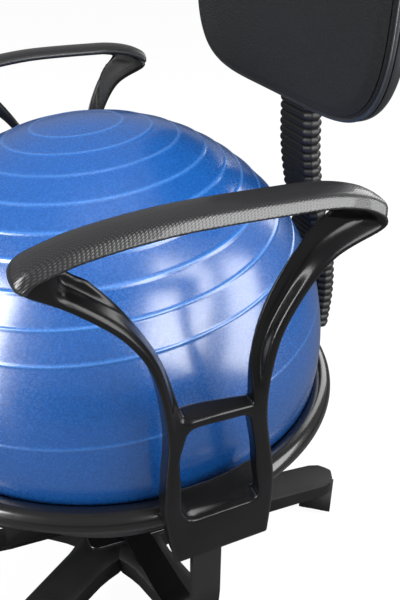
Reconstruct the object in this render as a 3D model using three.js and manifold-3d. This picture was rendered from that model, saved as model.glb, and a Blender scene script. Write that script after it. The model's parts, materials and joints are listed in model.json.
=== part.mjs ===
// A balance ball chair: an inflated ball in a ring on a five-star caster base, with two open
// armrests and a backrest whose height is set on a bent flat bar. Millimetres, +Z up. The
// sitter faces -Y, and the origin is on the floor under the middle of the whole part's box.
import * as THREE from "three";
import { mergeVertices } from "three/addons/utils/BufferGeometryUtils.js";
import Module from "manifold-3d";

const wasm = await Module();
wasm.setup();

// Fits
const contactGap = 0.3;
const slideGap = 0.4;
const clampGap = 2.2;
const overrun = 2;
const mergeTolerance = 1e-4;

// Ball
const ballRadius = 250;
const ballWall = 3;
const ballSqueeze = 2;
const ballSideGap = 0.6;
const plugRadius = 4;
const plugLength = 12;
const plugHeadRadius = 7;
const plugHeadHeight = 1.2;

// Ring that the ball sits in, and the dish under it
const ringTube = 12.5;
const ringDrop = 55;
const bowlInset = 9.5;
const bowlWall = 3.5;
const bowlFloorInset = 14;
const bowlVentRadius = 15;
const rimThickness = 3;
const rimOverlap = 0.5;

// Frame of four bent flat bars under the dish
const frameDepth = 244;
const barThickness = 6;
const barWidth = 34;
const barInset = 13.6;
const barStart = 23;
const barBend = 88;
const tabBend = 6;
const tabReach = 16.5;
const sideBarAzimuth = 8;
const plateHalf = 55;
const plateThickness = 6;
const plateCorner = 12;

// Bolts
const ringBoltInset = 3.5;
const ringBoltRadius = 3;
const ringBoltHeadRadius = 4.8;
const ringBoltHeadHeight = 3.5;
const armBoltRadius = 3;
const armBoltHeadRadius = 5;
const armBoltHeadHeight = 3;
const armBoltDepth = 15;
const armBoltAzimuths = [4.5, 13];
const backBoltRadius = 4;
const backBoltHeadRadius = 6.5;
const backBoltHeadHeight = 4.5;
const backBoltSpacing = 30;

// Star base and its post
const legCount = 5;
const legReach = 339.5;
const legRootRadius = 77;
const legEndHeight = 28;
const legRootHeight = 40;
const legEndShoulderDrop = 3;
const legRootShoulderDrop = 7;
const legEndHalf = 25;
const legRootHalf = 28;
const legDraft = 4;
const legFacet = 11.5;
const hubRadius = 50;
const hubTopRadius = 30;
const postRadius = 25;
const postHeight = 17;
const spigotRadius = 14;
const spigotLength = 34;
const studRadius = 8;
const stubRadius = 10;
const nutRadius = 14;
const nutHeight = 10;

// Casters
const wheelRadius = 25;
const wheelWidth = 16;
const wheelSides = 16;
const treadRound = 3;
const wheelDishRadius = 18;
const wheelDishDepth = 2.5;
const axleRadius = 4;
const casterWeb = 14;
const hoodGap = 0.8;
const hoodWall = 1.7;
const hoodLip = 8;
const hoodSide = 1;
const bossRadius = 9;
const stemRadius = 5.5;
const stemSeat = 24;
const stemGrip = 24;
const stemInset = 21.5;
const casterTrail = 16;
const swivelGap = 1.9;
const casterHeading = 145;

// Armrests
const armLength = 278;
const armHeight = 360;
const armForwardLength = 128;
const armFootDrop = 96;
const armThickness = 26.5;
const armGrip = 5.1;
const armRearThickness = 15;
const armLeanShare = 0.09;
const armEdge = 3;
const armSaddleInset = 3;
const armSaddleHeight = 58;
const armFootTaper = 15;
const padHalfWidth = 20;
const padThickness = 14;
const padOverlap = 8;
const padOffset = -4;

// Back bar and its ribbed sleeve
const backBarWidth = 56;
const backBarThickness = 6;
const backBarStandOff = 22.4;
const backBarFootLength = 70;
const backBarFootDrop = 60;
const ribPitch = 9.2;
const ribWidth = 72;
const ribDepth = 20;
const ribHeight = 2.5;
const sleeveBoreWidth = 60;
const sleeveBoreDepth = 10;
const sleeveCorner = 5;
const sleeveBoreCorner = 3;
const sleeveTopGap = 27;
const sleeveRingGap = 2.5;

// Backrest
const backrestHalfWidth = 221;
const backrestHeight = 314;
const backrestRise = 9;
const backrestBend = 10;
const cushionInset = 3;
const cushionEdge = 9;
const cushionCrown = 17;
const cushionRound = 5;
const panelInset = 30;
const panelThickness = 8;
const shellWall = 3;
const shellRim = 16;
const shellRound = 13;
const bracketHeight = 100;
const bracketDrop = 68;
const bracketWall = 5.6;
const flangeHalf = 49;
const flangeThickness = 3.7;
const slideTravel = 50;
const screwRadius = 2.5;
const screwHeadRadius = 4.5;
const screwHeadHeight = 2.5;
const screwDepth = 5;
const screwOffset = 42;
const knobRadius = 22;
const knobLobe = 2;
const knobThickness = 14;
const knobShaftRadius = 4;
const knobEdge = 2;

// Counts and pure numbers
const bigSides = 36;
const tubeSides = 10;
const bowlSteps = 5;
const smallSides = 8;
const turningSides = 12;
const knobSides = 24;
const pinchSteps = 4;
const upperSteps = 7;
const bendSteps = 4;
const saddleSteps = 6;
const hoodSteps = 6;
const lineSteps = 3;
const knobLobes = 6;
const padExponent = 8;
const outlineSteps = 2;
const backrestExponent = 4.5;
const backrestSides = 32;
const ribsPerBoreRing = 5;
const quarter = Math.PI / 2;
const degrees = Math.PI / 180;

// Places that follow from the sizes above
const axleHeight = wheelRadius * Math.cos(Math.PI / wheelSides);
const hoodRadius = wheelRadius + hoodGap + hoodWall;
const hoodTop = axleHeight + hoodRadius;
const legBottom = hoodTop + swivelGap;
const hubTop = legBottom + legRootHeight;
const postTop = hubTop + contactGap + postHeight;
const plateBottom = postTop + contactGap;
const barLevel = plateBottom + plateThickness + contactGap + barThickness / 2;
const ringLevel = barLevel + frameDepth;
const ballCentre = ringLevel + ringDrop;
const ringReach = ballRadius + ringTube - ballSqueeze;
const ringRadius = Math.sqrt(ringReach ** 2 - ringDrop ** 2);
const barRadius = ringRadius - barInset;
const rimTop = ringLevel - ringTube - contactGap;
const rimBottom = rimTop - rimThickness;
const tabLevel = rimBottom - contactGap - barThickness / 2;
const ringBoltPlace = ringRadius - ringBoltInset;
const bowlOuter = ballRadius - bowlInset;
const bowlInner = bowlOuter - bowlWall;
const bowlFloor = ballRadius - bowlFloorInset;
const ballLower = bowlInner - ballSideGap;
const ballFloor = bowlFloor - bowlWall - contactGap;
const stemPlace = legReach - stemInset;
const armInner = ringRadius + ringTube - armGrip;
const armFootLevel = ballCentre - armFootDrop;
const backBarFootY = barRadius + barThickness / 2 + contactGap + backBarThickness / 2;
const backBarReachY = ringRadius + backBarStandOff;
const backBarFootTop = ringLevel - backBarFootDrop;
const backBarFootBottom = backBarFootTop - backBarFootLength;
const backrestLevel = ballCentre + ballRadius + backrestRise + backrestHeight / 2;
const bracketLevel = backrestLevel - bracketDrop;
const bracketBottom = bracketLevel - bracketHeight / 2;
const backBarTop = bracketLevel + bracketHeight / 2;

// Outline points as shares of the armrest's length (front to rear) and height (foot to top)
const armFrontShares = [
  [0.411, 0.001], [0.372, 0.169], [0.371, 0.282], [0.376, 0.447],
  [0.334, 0.63], [0.255, 0.743], [0.129, 0.833], [0.034, 0.88],
];
const armTopShares = [
  [0.004, 0.897], [0.03, 0.927], [0.104, 0.95], [0.169, 0.964], [0.295, 0.981], [0.442, 0.992],
  [0.683, 0.997], [0.806, 0.996], [0.899, 0.983], [0.99, 0.937],
];
const armRearShares = [
  [0.99, 0.917], [0.829, 0.852], [0.729, 0.724], [0.695, 0.607],
  [0.694, 0.455], [0.744, 0.231], [0.747, 0.026],
];
const openingFrontShares = [
  [0.112, 0.926], [0.152, 0.899], [0.197, 0.872], [0.288, 0.78], [0.371, 0.656], [0.424, 0.5],
];
const openingRearShares = [
  [0.637, 0.506], [0.633, 0.631], [0.662, 0.766], [0.749, 0.916], [0.82, 0.967],
];
const openingTopShares = [[0.683, 0.976], [0.442, 0.971], [0.293, 0.96]];
const windowShares = [
  [0.438, 0.473], [0.41, 0.381], [0.421, 0.285], [0.421, 0.206], [0.448, 0.157],
  [0.685, 0.173], [0.691, 0.203], [0.672, 0.277], [0.66, 0.359], [0.629, 0.478],
];
const saddleShares = [0.41, 0.735];

// Armrest pad: section as shares of its half width and thickness, and its thickness at the ends
const padSectionShares = [[1, 0], [1, 0.55], [0.8, 1], [-0.8, 1], [-1, 0.55], [-1, 0]];
const padEndShare = 0.8;

// Back bar: places from its foot to its top as shares of the stand-off and of the height
const backBarShares = [
  [0, 0], [0.477, 0.065], [0.8, 0.125], [0.93, 0.21], [1, 0.3], [0.895, 0.398],
  [0.547, 0.501], [0.129, 0.607], [-0.22, 0.742], [-0.33, 0.87], [-0.359, 1],
];

// Ball: how far above the ring its pinch reaches, as a share of the reach below it
const pinchShare = 0.7;

// Star leg: width near the hub as shares of the root radius and of the root width
const legFlareShares = [[0, 1.3], [0.6, 1.24], [0.8, 1.09], [1, 1]];
const legEndAngles = [0, 35, 60, 80, 88];

// Backrest rings from the middle to the rim, as shares of the outline
const backrestRingShares = [0.02, 0.4, 0.7, 0.88];

// Cushion: the last front ring, and its side as [inset, height] shares of the rounding
const cushionFrontShare = 0.96;
const cushionTurnShares = [[0.6, 0.5], [0, -0.5]];
const cushionSideShare = 0.4;

function finish(colour, roughness, metalness) {
  return new THREE.MeshStandardMaterial({ color: colour, roughness, metalness });
}
const ballVinyl = finish(0x2b5fb0, 0.35, 0);
const glossPaint = finish(0x0b0b0c, 0.2, 0.2);
const satinPlastic = finish(0x161617, 0.45, 0);
const greyPlastic = finish(0x5a5c60, 0.5, 0);
const wheelPlastic = finish(0x1c1c1d, 0.55, 0);
const blackFabric = finish(0x121214, 0.95, 0);
const rubber = finish(0x131314, 0.6, 0);
const zincSteel = finish(0xb9bcc0, 0.35, 0.9);
const board = finish(0x8a6f4e, 0.8, 0);

// Turns a closed surface so that its faces point out
function facingOut(geometry) {
  const flat = geometry.index ? geometry.toNonIndexed() : geometry;
  const position = flat.attributes.position;
  const corners = [new THREE.Vector3(), new THREE.Vector3(), new THREE.Vector3()];
  let volume = 0;
  for (let i = 0; i < position.count; i += 3) {
    corners.forEach((corner, k) => corner.fromBufferAttribute(position, i + k));
    volume += corners[0].dot(corners[1].cross(corners[2]));
  }
  const order = volume < 0 ? [0, 2, 1] : [0, 1, 2];
  const turned = new Float32Array(position.array.length);
  for (let i = 0; i < position.count; i += 3) {
    order.forEach((from, to) => {
      new THREE.Vector3().fromBufferAttribute(position, i + from).toArray(turned, 3 * (i + to));
    });
  }
  const facing = new THREE.BufferGeometry();
  facing.setAttribute("position", new THREE.BufferAttribute(turned, 3));
  facing.computeVertexNormals();
  return facing;
}

function solidOf(geometry) {
  const merged = mergeVertices(facingOut(geometry).deleteAttribute("normal"), mergeTolerance);
  const triVerts = new Uint32Array(merged.index.array);
  const vertProperties = merged.attributes.position.array;
  return new wasm.Manifold(new wasm.Mesh({ numProp: 3, vertProperties, triVerts }));
}

function geometryOf(solid) {
  const mesh = solid.getMesh();
  const geometry = new THREE.BufferGeometry();
  geometry.setAttribute("position", new THREE.BufferAttribute(mesh.vertProperties, 3));
  geometry.setIndex(new THREE.BufferAttribute(mesh.triVerts, 1));
  geometry.computeVertexNormals();
  return geometry;
}

// Joins the bodies, then cuts the cutters away
function carve(bodies, cutters) {
  let solid = solidOf(bodies[0]);
  bodies.slice(1).forEach((body) => (solid = solid.add(solidOf(body))));
  cutters.forEach((cutter) => (solid = solid.subtract(solidOf(cutter))));
  return geometryOf(solid);
}

// A surface of revolution about Z from [radius, height] pairs
function turned(profile, sides) {
  const points = profile.map(([radius, height]) => new THREE.Vector2(radius, height));
  return facingOut(new THREE.LatheGeometry(points, sides).rotateX(quarter));
}

// A round bar from the origin up +Z
function rod(radius, length, sides = smallSides) {
  const bar = new THREE.CylinderGeometry(radius, radius, length, sides);
  return bar.rotateX(quarter).translate(0, 0, length / 2);
}

function tube(centreRadius, tubeRadius) {
  const profile = [];
  for (let i = 0; i <= tubeSides; i += 1) {
    const angle = (i / tubeSides) * 2 * Math.PI;
    profile.push([
      centreRadius + tubeRadius * Math.cos(angle),
      tubeRadius * Math.sin(angle),
    ]);
  }
  profile[tubeSides] = profile[0];
  return turned(profile, bigSides);
}

// Skins a row of rings with equal counts of points and closes both ends with faces or a fan
function loft(rings, faces) {
  const sides = rings[0].length;
  const positions = [];
  const triangle = (...corners) => corners.forEach((corner) => positions.push(...corner.toArray()));
  for (let i = 0; i + 1 < rings.length; i += 1) {
    for (let k = 0; k < sides; k += 1) {
      const next = (k + 1) % sides;
      triangle(rings[i][k], rings[i][next], rings[i + 1][next]);
      triangle(rings[i][k], rings[i + 1][next], rings[i + 1][k]);
    }
  }
  const cap = (ring, turn) => {
    if (faces) {
      faces.forEach((face) => triangle(...(turn ? [...face].reverse() : face).map((k) => ring[k])));
      return;
    }
    const middle = new THREE.Vector3();
    ring.forEach((point) => middle.addScaledVector(point, 1 / sides));
    ring.forEach((point, k) => {
      const next = ring[(k + 1) % sides];
      triangle(middle, ...(turn ? [next, point] : [point, next]));
    });
  };
  cap(rings[0], true);
  cap(rings[rings.length - 1], false);
  const skin = new THREE.BufferGeometry();
  skin.setAttribute("position", new THREE.BufferAttribute(new Float32Array(positions), 3));
  return facingOut(skin);
}

// The outline of a strip of even thickness along a row of flat points
function stripShape(points, thickness) {
  const sides = [[], []];
  points.forEach((point, i) => {
    const before = points[Math.max(i - 1, 0)];
    const after = points[Math.min(i + 1, points.length - 1)];
    const into = point.clone().sub(i ? before : point).normalize();
    const out = after.clone().sub(point).normalize();
    const along = into.clone().add(out).normalize();
    const spread = thickness / 2 / Math.max(along.dot(i ? into : out), Number.EPSILON);
    const across = new THREE.Vector2(-along.y, along.x).multiplyScalar(spread);
    sides[0].push(point.clone().add(across));
    sides[1].unshift(point.clone().sub(across));
  });
  return new THREE.Shape([...sides[0], ...sides[1]]);
}

function extrude(shape, depth, edge = 0, curveSegments = outlineSteps) {
  const solid = new THREE.ExtrudeGeometry(shape, {
    depth: depth - 2 * edge,
    bevelEnabled: edge > 0,
    bevelThickness: edge,
    bevelSize: edge,
    bevelOffset: -edge,
    bevelSegments: 1,
    curveSegments,
  });
  return solid.translate(0, 0, edge - depth / 2);
}

// A flat outline in X and Z, as thick as depth along Y
function slabAcrossY(shape, depth, edge, curveSegments) {
  return extrude(shape, depth, edge, curveSegments).rotateX(quarter);
}

// A flat outline in Y and Z, as thick as depth along X
const sideways = new THREE.Matrix4().makeBasis(
  new THREE.Vector3(0, 1, 0),
  new THREE.Vector3(0, 0, 1),
  new THREE.Vector3(1, 0, 0),
);
function slabAcrossX(shape, depth, edge, curveSegments) {
  return extrude(shape, depth, edge, curveSegments).applyMatrix4(sideways);
}

function roundedRectangle(halfWidth, halfHeight, corner) {
  const shape = new THREE.Shape();
  shape.absarc(halfWidth - corner, halfHeight - corner, corner, 0, quarter);
  shape.absarc(corner - halfWidth, halfHeight - corner, corner, quarter, 2 * quarter);
  shape.absarc(corner - halfWidth, corner - halfHeight, corner, 2 * quarter, 3 * quarter);
  shape.absarc(halfWidth - corner, corner - halfHeight, corner, 3 * quarter, 4 * quarter);
  return shape;
}

const chair = new THREE.Group();
function add(name, geometry, material, parent = chair) {
  const mesh = new THREE.Mesh(facingOut(geometry), material);
  mesh.name = name;
  parent.add(mesh);
  return mesh;
}

// Ball: a sphere that the ring pinches and the dish holds below it
function ballProfile(shrink) {
  const contact = Math.atan2(ringDrop, ringRadius);
  const rimDrop = ballCentre - rimTop;
  const lowerEnd = Math.asin(rimDrop / ballLower);
  const pinchEnd = contact - (lowerEnd - contact) * pinchShare;
  const floorRadius = Math.sqrt(ballLower ** 2 - ballFloor ** 2);
  const profile = [[0, ballCentre - ballFloor + shrink]];
  const addPoint = (drop, radius) => {
    const height = Math.max(-radius * Math.sin(drop), -ballFloor);
    const reach = (radius - shrink) * Math.cos(drop);
    profile.push([reach, ballCentre + (height * (radius - shrink)) / radius]);
  };
  const floorAngle = Math.acos(floorRadius / ballLower);
  for (let i = 0; i <= bowlSteps; i += 1) {
    addPoint(THREE.MathUtils.lerp(floorAngle, lowerEnd, i / bowlSteps), ballLower);
  }
  for (let i = 1; i <= pinchSteps; i += 1) {
    const share = i / pinchSteps;
    const radius = THREE.MathUtils.lerp(ballLower, ballRadius, THREE.MathUtils.smoothstep(share, 0, 1));
    addPoint(THREE.MathUtils.lerp(lowerEnd, pinchEnd, share), radius);
  }
  for (let i = 1; i < upperSteps; i += 1) {
    addPoint(THREE.MathUtils.lerp(pinchEnd, -quarter, i / upperSteps), ballRadius);
  }
  profile.push([0, ballCentre + ballRadius - shrink]);
  return profile;
}

function ballShell() {
  const bottom = ballCentre - ballFloor;
  const hole = rod(plugRadius + contactGap, ballWall + 2 * overrun).translate(0, 0, bottom - overrun);
  const seat = rod(plugHeadRadius + contactGap, plugHeadHeight + contactGap + overrun);
  return carve(
    [turned(ballProfile(0), bigSides)],
    [turned(ballProfile(ballWall), bigSides), hole, seat.translate(0, 0, bottom - overrun)],
  );
}

function ballPlug() {
  const bottom = ballCentre - ballFloor;
  return turned(
    [
      [0, bottom],
      [plugHeadRadius, bottom],
      [plugHeadRadius, bottom + plugHeadHeight],
      [plugRadius, bottom + plugHeadHeight],
      [plugRadius, bottom + plugLength],
      [0, bottom + plugLength],
    ],
    smallSides,
  );
}

// Bars by name, with the azimuth of each
const barAzimuths = {
  right: sideBarAzimuth,
  left: 180 - sideBarAzimuth,
  front: 270,
  rear: 90,
};

function ringBoltHole(azimuth) {
  const hole = rod(ringBoltRadius + contactGap, ringLevel - tabLevel + barThickness);
  hole.translate(ringBoltPlace, 0, tabLevel - barThickness);
  return hole.rotateZ(azimuth * degrees);
}

function armBoltHoles(side) {
  return armBoltAzimuths.map((azimuth) => {
    const countersink = armBoltProfile(contactGap);
    const hole = turned(countersink, smallSides).rotateY(quarter);
    hole.translate(ringRadius - ringTube, 0, ringLevel).rotateZ(azimuth * degrees);
    return side < 0 ? facingOut(hole.scale(-1, 1, 1)) : hole;
  });
}

// Countersunk bolt as [radius, distance from the ring's inner face], grown by room
function armBoltProfile(room) {
  const tip = armInner + armBoltDepth - ringRadius + ringTube;
  const start = room ? -overrun : contactGap;
  return [
    [0, start],
    [armBoltHeadRadius + room, start],
    [armBoltHeadRadius + room, contactGap + armBoltHeadHeight / 2],
    [armBoltRadius + room, contactGap + armBoltHeadHeight],
    [armBoltRadius + room, tip + room],
    [0, tip + room],
  ];
}

function supportRing() {
  const barHoles = Object.values(barAzimuths).map(ringBoltHole);
  const ring = tube(ringRadius, ringTube).translate(0, 0, ringLevel);
  return carve([ring], [...barHoles, ...armBoltHoles(1), ...armBoltHoles(-1)]);
}

function seatBowl() {
  const arc = (radius, fromHeight, toHeight, steps) => {
    const from = Math.acos(fromHeight / radius);
    const to = Math.acos(toHeight / radius);
    return Array.from({ length: steps + 1 }, (_, i) => {
      const angle = THREE.MathUtils.lerp(from, to, i / steps);
      return [radius * Math.sin(angle), ballCentre - radius * Math.cos(angle)];
    });
  };
  const rimOuter = ringRadius + rimOverlap;
  const innerFloor = bowlFloor - bowlWall;
  const profile = [
    [bowlVentRadius, ballCentre - bowlFloor],
    ...arc(bowlOuter, bowlFloor, ballCentre - rimBottom, bowlSteps),
    [rimOuter, rimBottom],
    [rimOuter, rimTop],
    ...arc(bowlInner, ballCentre - rimTop, innerFloor, bowlSteps),
    [bowlVentRadius, ballCentre - innerFloor],
  ];
  profile.push(profile[0]);
  return carve([turned(profile, bigSides)], Object.values(barAzimuths).map(ringBoltHole));
}

function hubPlate() {
  const plate = extrude(roundedRectangle(plateHalf, plateHalf, plateCorner), plateThickness, 0, bendSteps);
  plate.translate(0, 0, plateBottom + plateThickness / 2);
  const hole = rod(stubRadius + contactGap, plateThickness + 2 * overrun);
  return carve([plate], [hole.translate(0, 0, plateBottom - overrun)]);
}

function supportBar(name) {
  const path = new THREE.Path();
  path.moveTo(barStart, barLevel);
  path.lineTo(barRadius - barBend, barLevel);
  path.absarc(barRadius - barBend, barLevel + barBend, barBend, -quarter, 0);
  path.lineTo(barRadius, tabLevel - tabBend);
  path.absarc(barRadius + tabBend, tabLevel - tabBend, tabBend, 2 * quarter, quarter, true);
  path.lineTo(barRadius + tabReach, tabLevel);
  const points = path.getPoints(bendSteps);
  const bar = slabAcrossY(stripShape(points, barThickness), barWidth);
  const tabHole = ringBoltHole(0);
  const sideHoles = name === "rear" ? backBoltLevels().map(backBoltHole) : [];
  const geometry = carve([bar], [tabHole, ...sideHoles]);
  return geometry.rotateZ(barAzimuths[name] * degrees);
}

function ringBolt(azimuth) {
  const seat = tabLevel - barThickness / 2 - contactGap;
  const profile = [
    [0, seat - ringBoltHeadHeight],
    [ringBoltHeadRadius, seat - ringBoltHeadHeight],
    [ringBoltHeadRadius, seat],
    [ringBoltRadius, seat],
    [ringBoltRadius, ringLevel - contactGap],
    [0, ringLevel - contactGap],
  ];
  const bolt = turned(profile, smallSides).translate(ringBoltPlace, 0, 0);
  return bolt.rotateZ(azimuth * degrees);
}

// Star base: five tapering legs with sloping upper sides, joined by a hub
function legRing(radius, share) {
  const endStart = legReach - legEndHalf;
  const along = THREE.MathUtils.clamp((radius - legRootRadius) / (endStart - legRootRadius), 0, 1);
  const half = THREE.MathUtils.lerp(legRootHalf, legEndHalf, along);
  const top = legBottom + THREE.MathUtils.lerp(legRootHeight, legEndHeight, along);
  const shoulder = top - THREE.MathUtils.lerp(legRootShoulderDrop, legEndShoulderDrop, along);
  const places = [
    [half - legDraft, legBottom],
    [half, shoulder],
    [half - legFacet, top],
    [legFacet - half, top],
    [-half, shoulder],
    [legDraft - half, legBottom],
  ];
  return places.map(([side, height]) => new THREE.Vector3(radius, side * share, height));
}

function starLeg(azimuth) {
  const endStart = legReach - legEndHalf;
  const roots = legFlareShares.map(([place, width]) => legRing(legRootRadius * place, width));
  const ends = legEndAngles.map((angle) => {
    const turn = angle * degrees;
    return legRing(endStart + legEndHalf * Math.sin(turn), Math.cos(turn));
  });
  return loft([...roots, ...ends]).rotateZ(azimuth * degrees);
}

const legAzimuths = Array.from({ length: legCount }, (_, i) => 90 + (i * 360) / legCount);

function starBase() {
  const shoulder = hubTop - legRootShoulderDrop;
  const hub = turned(
    [
      [0, legBottom],
      [hubRadius, legBottom],
      [hubRadius, shoulder],
      [hubTopRadius, hubTop],
      [0, hubTop],
    ],
    bigSides / 2,
  );
  const spigotHole = rod(spigotRadius + contactGap, spigotLength + contactGap + overrun);
  spigotHole.translate(0, 0, hubTop - spigotLength);
  const studHole = rod(studRadius + contactGap, legRootHeight).translate(0, 0, legBottom - overrun);
  const stemHoles = legAzimuths.map((azimuth) => {
    const length = stemGrip + contactGap + overrun;
    const hole = rod(stemRadius + contactGap, length, turningSides);
    return hole.translate(stemPlace, 0, legBottom - overrun).rotateZ(azimuth * degrees);
  });
  return carve([hub, ...legAzimuths.map(starLeg)], [spigotHole, studHole, ...stemHoles]);
}

function basePost() {
  const collarBottom = hubTop + contactGap;
  const nutBottom = legBottom - contactGap - nutHeight;
  return turned(
    [
      [0, nutBottom],
      [studRadius, nutBottom],
      [studRadius, hubTop - spigotLength + contactGap],
      [spigotRadius, hubTop - spigotLength + contactGap],
      [spigotRadius, collarBottom],
      [postRadius, collarBottom],
      [postRadius, postTop],
      [stubRadius, postTop],
      [stubRadius, plateBottom + plateThickness],
      [0, plateBottom + plateThickness],
    ],
    smallSides,
  );
}

function baseNut() {
  const hexagon = 6;
  const nut = rod(nutRadius, nutHeight, hexagon);
  const bore = rod(studRadius + contactGap, nutHeight + 2 * overrun);
  return carve([nut], [bore.translate(0, 0, -overrun)]).translate(
    0,
    0,
    legBottom - contactGap - nutHeight,
  );
}

// Caster, with the stem's axis on its own Z axis and the wheels trailing towards +X
function casterHood() {
  const width = casterWeb + 2 * (slideGap + wheelWidth + hoodSide);
  const lip = Math.asin(hoodLip / hoodRadius);
  const cover = new THREE.Shape();
  cover.absarc(casterTrail, axleHeight, hoodRadius, -lip, Math.PI + lip);
  const body = slabAcrossY(cover, width, 0, hoodSteps);
  const boss = rod(bossRadius, hoodRadius).translate(0, 0, axleHeight);
  const bays = [-1, 1].map((side) => {
    const bay = new THREE.CylinderGeometry(
      wheelRadius + hoodGap,
      wheelRadius + hoodGap,
      width,
      wheelSides,
    );
    bay.rotateY(Math.PI / wheelSides);
    return bay.translate(casterTrail, (side * (casterWeb + width)) / 2, axleHeight);
  });
  const axleHole = new THREE.CylinderGeometry(
    axleRadius + contactGap,
    axleRadius + contactGap,
    casterWeb + 2 * overrun,
    smallSides,
  );
  const stemHole = rod(stemRadius + contactGap, stemSeat + overrun, turningSides);
  return carve(
    [body, boss],
    [
      ...bays,
      axleHole.translate(casterTrail, 0, axleHeight),
      stemHole.translate(0, 0, hoodTop - stemSeat),
    ],
  );
}

function casterStem() {
  const bottom = hoodTop - stemSeat + contactGap;
  const length = legBottom + stemGrip - contactGap - bottom;
  return rod(stemRadius, length, turningSides).translate(0, 0, bottom);
}

function casterAxle() {
  const length = casterWeb + 2 * (slideGap + wheelWidth - wheelDishDepth);
  const axle = new THREE.CylinderGeometry(axleRadius, axleRadius, length, smallSides);
  return axle.translate(casterTrail, 0, axleHeight);
}

function casterWheel(side) {
  const bore = axleRadius + contactGap;
  const face = wheelWidth - wheelDishDepth;
  const profile = [
    [bore, 0],
    [wheelRadius - treadRound, 0],
    [wheelRadius, treadRound],
    [wheelRadius, wheelWidth - treadRound],
    [wheelRadius - treadRound, wheelWidth],
    [wheelDishRadius, wheelWidth],
    [bore, face],
    [bore, 0],
  ];
  const points = profile.map(([radius, along]) => new THREE.Vector2(radius, along));
  const wheel = new THREE.LatheGeometry(points, wheelSides).rotateY(Math.PI / wheelSides);
  wheel.translate(0, casterWeb / 2 + slideGap, 0).scale(1, side, 1);
  return wheel.translate(casterTrail, 0, axleHeight);
}

function addCaster(number, azimuth) {
  const caster = new THREE.Group();
  const turn = azimuth * degrees;
  caster.position.set(stemPlace * Math.cos(turn), stemPlace * Math.sin(turn), 0);
  caster.rotation.z = casterHeading * degrees;
  chair.add(caster);
  add(`caster_${number}_stem`, casterStem(), zincSteel, caster);
  add(`caster_${number}_hood`, casterHood(), satinPlastic, caster);
  add(`caster_${number}_axle`, casterAxle(), zincSteel, caster);
  add(`caster_${number}_wheel_inner`, casterWheel(1), wheelPlastic, caster);
  add(`caster_${number}_wheel_outer`, casterWheel(-1), wheelPlastic, caster);
}

// Armrest
function armPlace([along, up]) {
  return new THREE.Vector2(armLength * along - armForwardLength, armFootLevel + armHeight * up);
}

// Adds a smooth curve through the places to a path that has been started
function curveThrough(path, shares) {
  path.splineThru(shares.map(armPlace));
  return path;
}

function armOutline() {
  const outline = new THREE.Shape();
  outline.moveTo(...armPlace(armFrontShares[0]).toArray());
  curveThrough(outline, armFrontShares.slice(1));
  outline.lineTo(...armPlace(armTopShares[0]).toArray());
  curveThrough(outline, armTopShares.slice(1));
  outline.lineTo(...armPlace(armRearShares[0]).toArray());
  curveThrough(outline, armRearShares.slice(1));
  const opening = new THREE.Path();
  opening.moveTo(...armPlace(openingFrontShares[0]).toArray());
  curveThrough(opening, openingFrontShares.slice(1));
  opening.lineTo(...armPlace(openingRearShares[0]).toArray());
  curveThrough(opening, openingRearShares.slice(1));
  curveThrough(opening, openingTopShares);
  const window = new THREE.Path(windowShares.map(armPlace));
  outline.holes.push(opening, window);
  return outline;
}

// The block between the flat armrest and the round ring
function armSaddle() {
  const inner = armInner - armSaddleInset;
  const outer = armInner + armThickness / 2;
  const [front, rear] = saddleShares.map((share) => armLength * share - armForwardLength);
  const plan = new THREE.Shape();
  plan.absarc(0, 0, inner, Math.asin(front / inner), Math.asin(rear / inner));
  plan.lineTo(outer, rear);
  plan.lineTo(outer, front);
  return extrude(plan, armSaddleHeight, armEdge, saddleSteps).translate(0, 0, ringLevel);
}

// The armrest leans outward from the ring's level
function leanOut(geometry) {
  const lean = new THREE.Matrix4();
  lean.set(1, 0, armLeanShare, -armLeanShare * ringLevel, 0, 1, 0, 0, 0, 0, 1, 0, 0, 0, 0, 1);
  return geometry.applyMatrix4(lean);
}

function armSlab(shape, edge) {
  return slabAcrossX(shape, armThickness, edge).translate(armInner + armThickness / 2, 0, 0);
}

function armFrame() {
  const frame = leanOut(armSlab(armOutline(), armEdge));
  const thinned = armInner + armThickness - armRearThickness;
  const thinning = new THREE.Shape([
    new THREE.Vector2(armInner - overrun, 0),
    new THREE.Vector2(armInner, 0),
    new THREE.Vector2(thinned, armLength * saddleShares[1] - armForwardLength),
    new THREE.Vector2(thinned, armLength),
    new THREE.Vector2(armInner - overrun, armLength),
  ]);
  const thinningCut = extrude(thinning, 2 * armHeight);
  thinningCut.translate(0, 0, armFootLevel + armHeight / 2);
  const groove = tube(ringRadius, ringTube + contactGap).translate(0, 0, ringLevel);
  const taper = new THREE.Shape([
    new THREE.Vector2(ringRadius, ringLevel - ringTube),
    new THREE.Vector2(armInner + armFootTaper, armFootLevel - overrun),
    new THREE.Vector2(ringRadius, armFootLevel - overrun),
  ]);
  const taperCut = slabAcrossY(taper, 2 * armLength);
  const slim = geometryOf(solidOf(frame).subtract(solidOf(leanOut(thinningCut))));
  return carve([slim, armSaddle()], [groove, taperCut, ...armBoltHoles(1)]);
}

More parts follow.
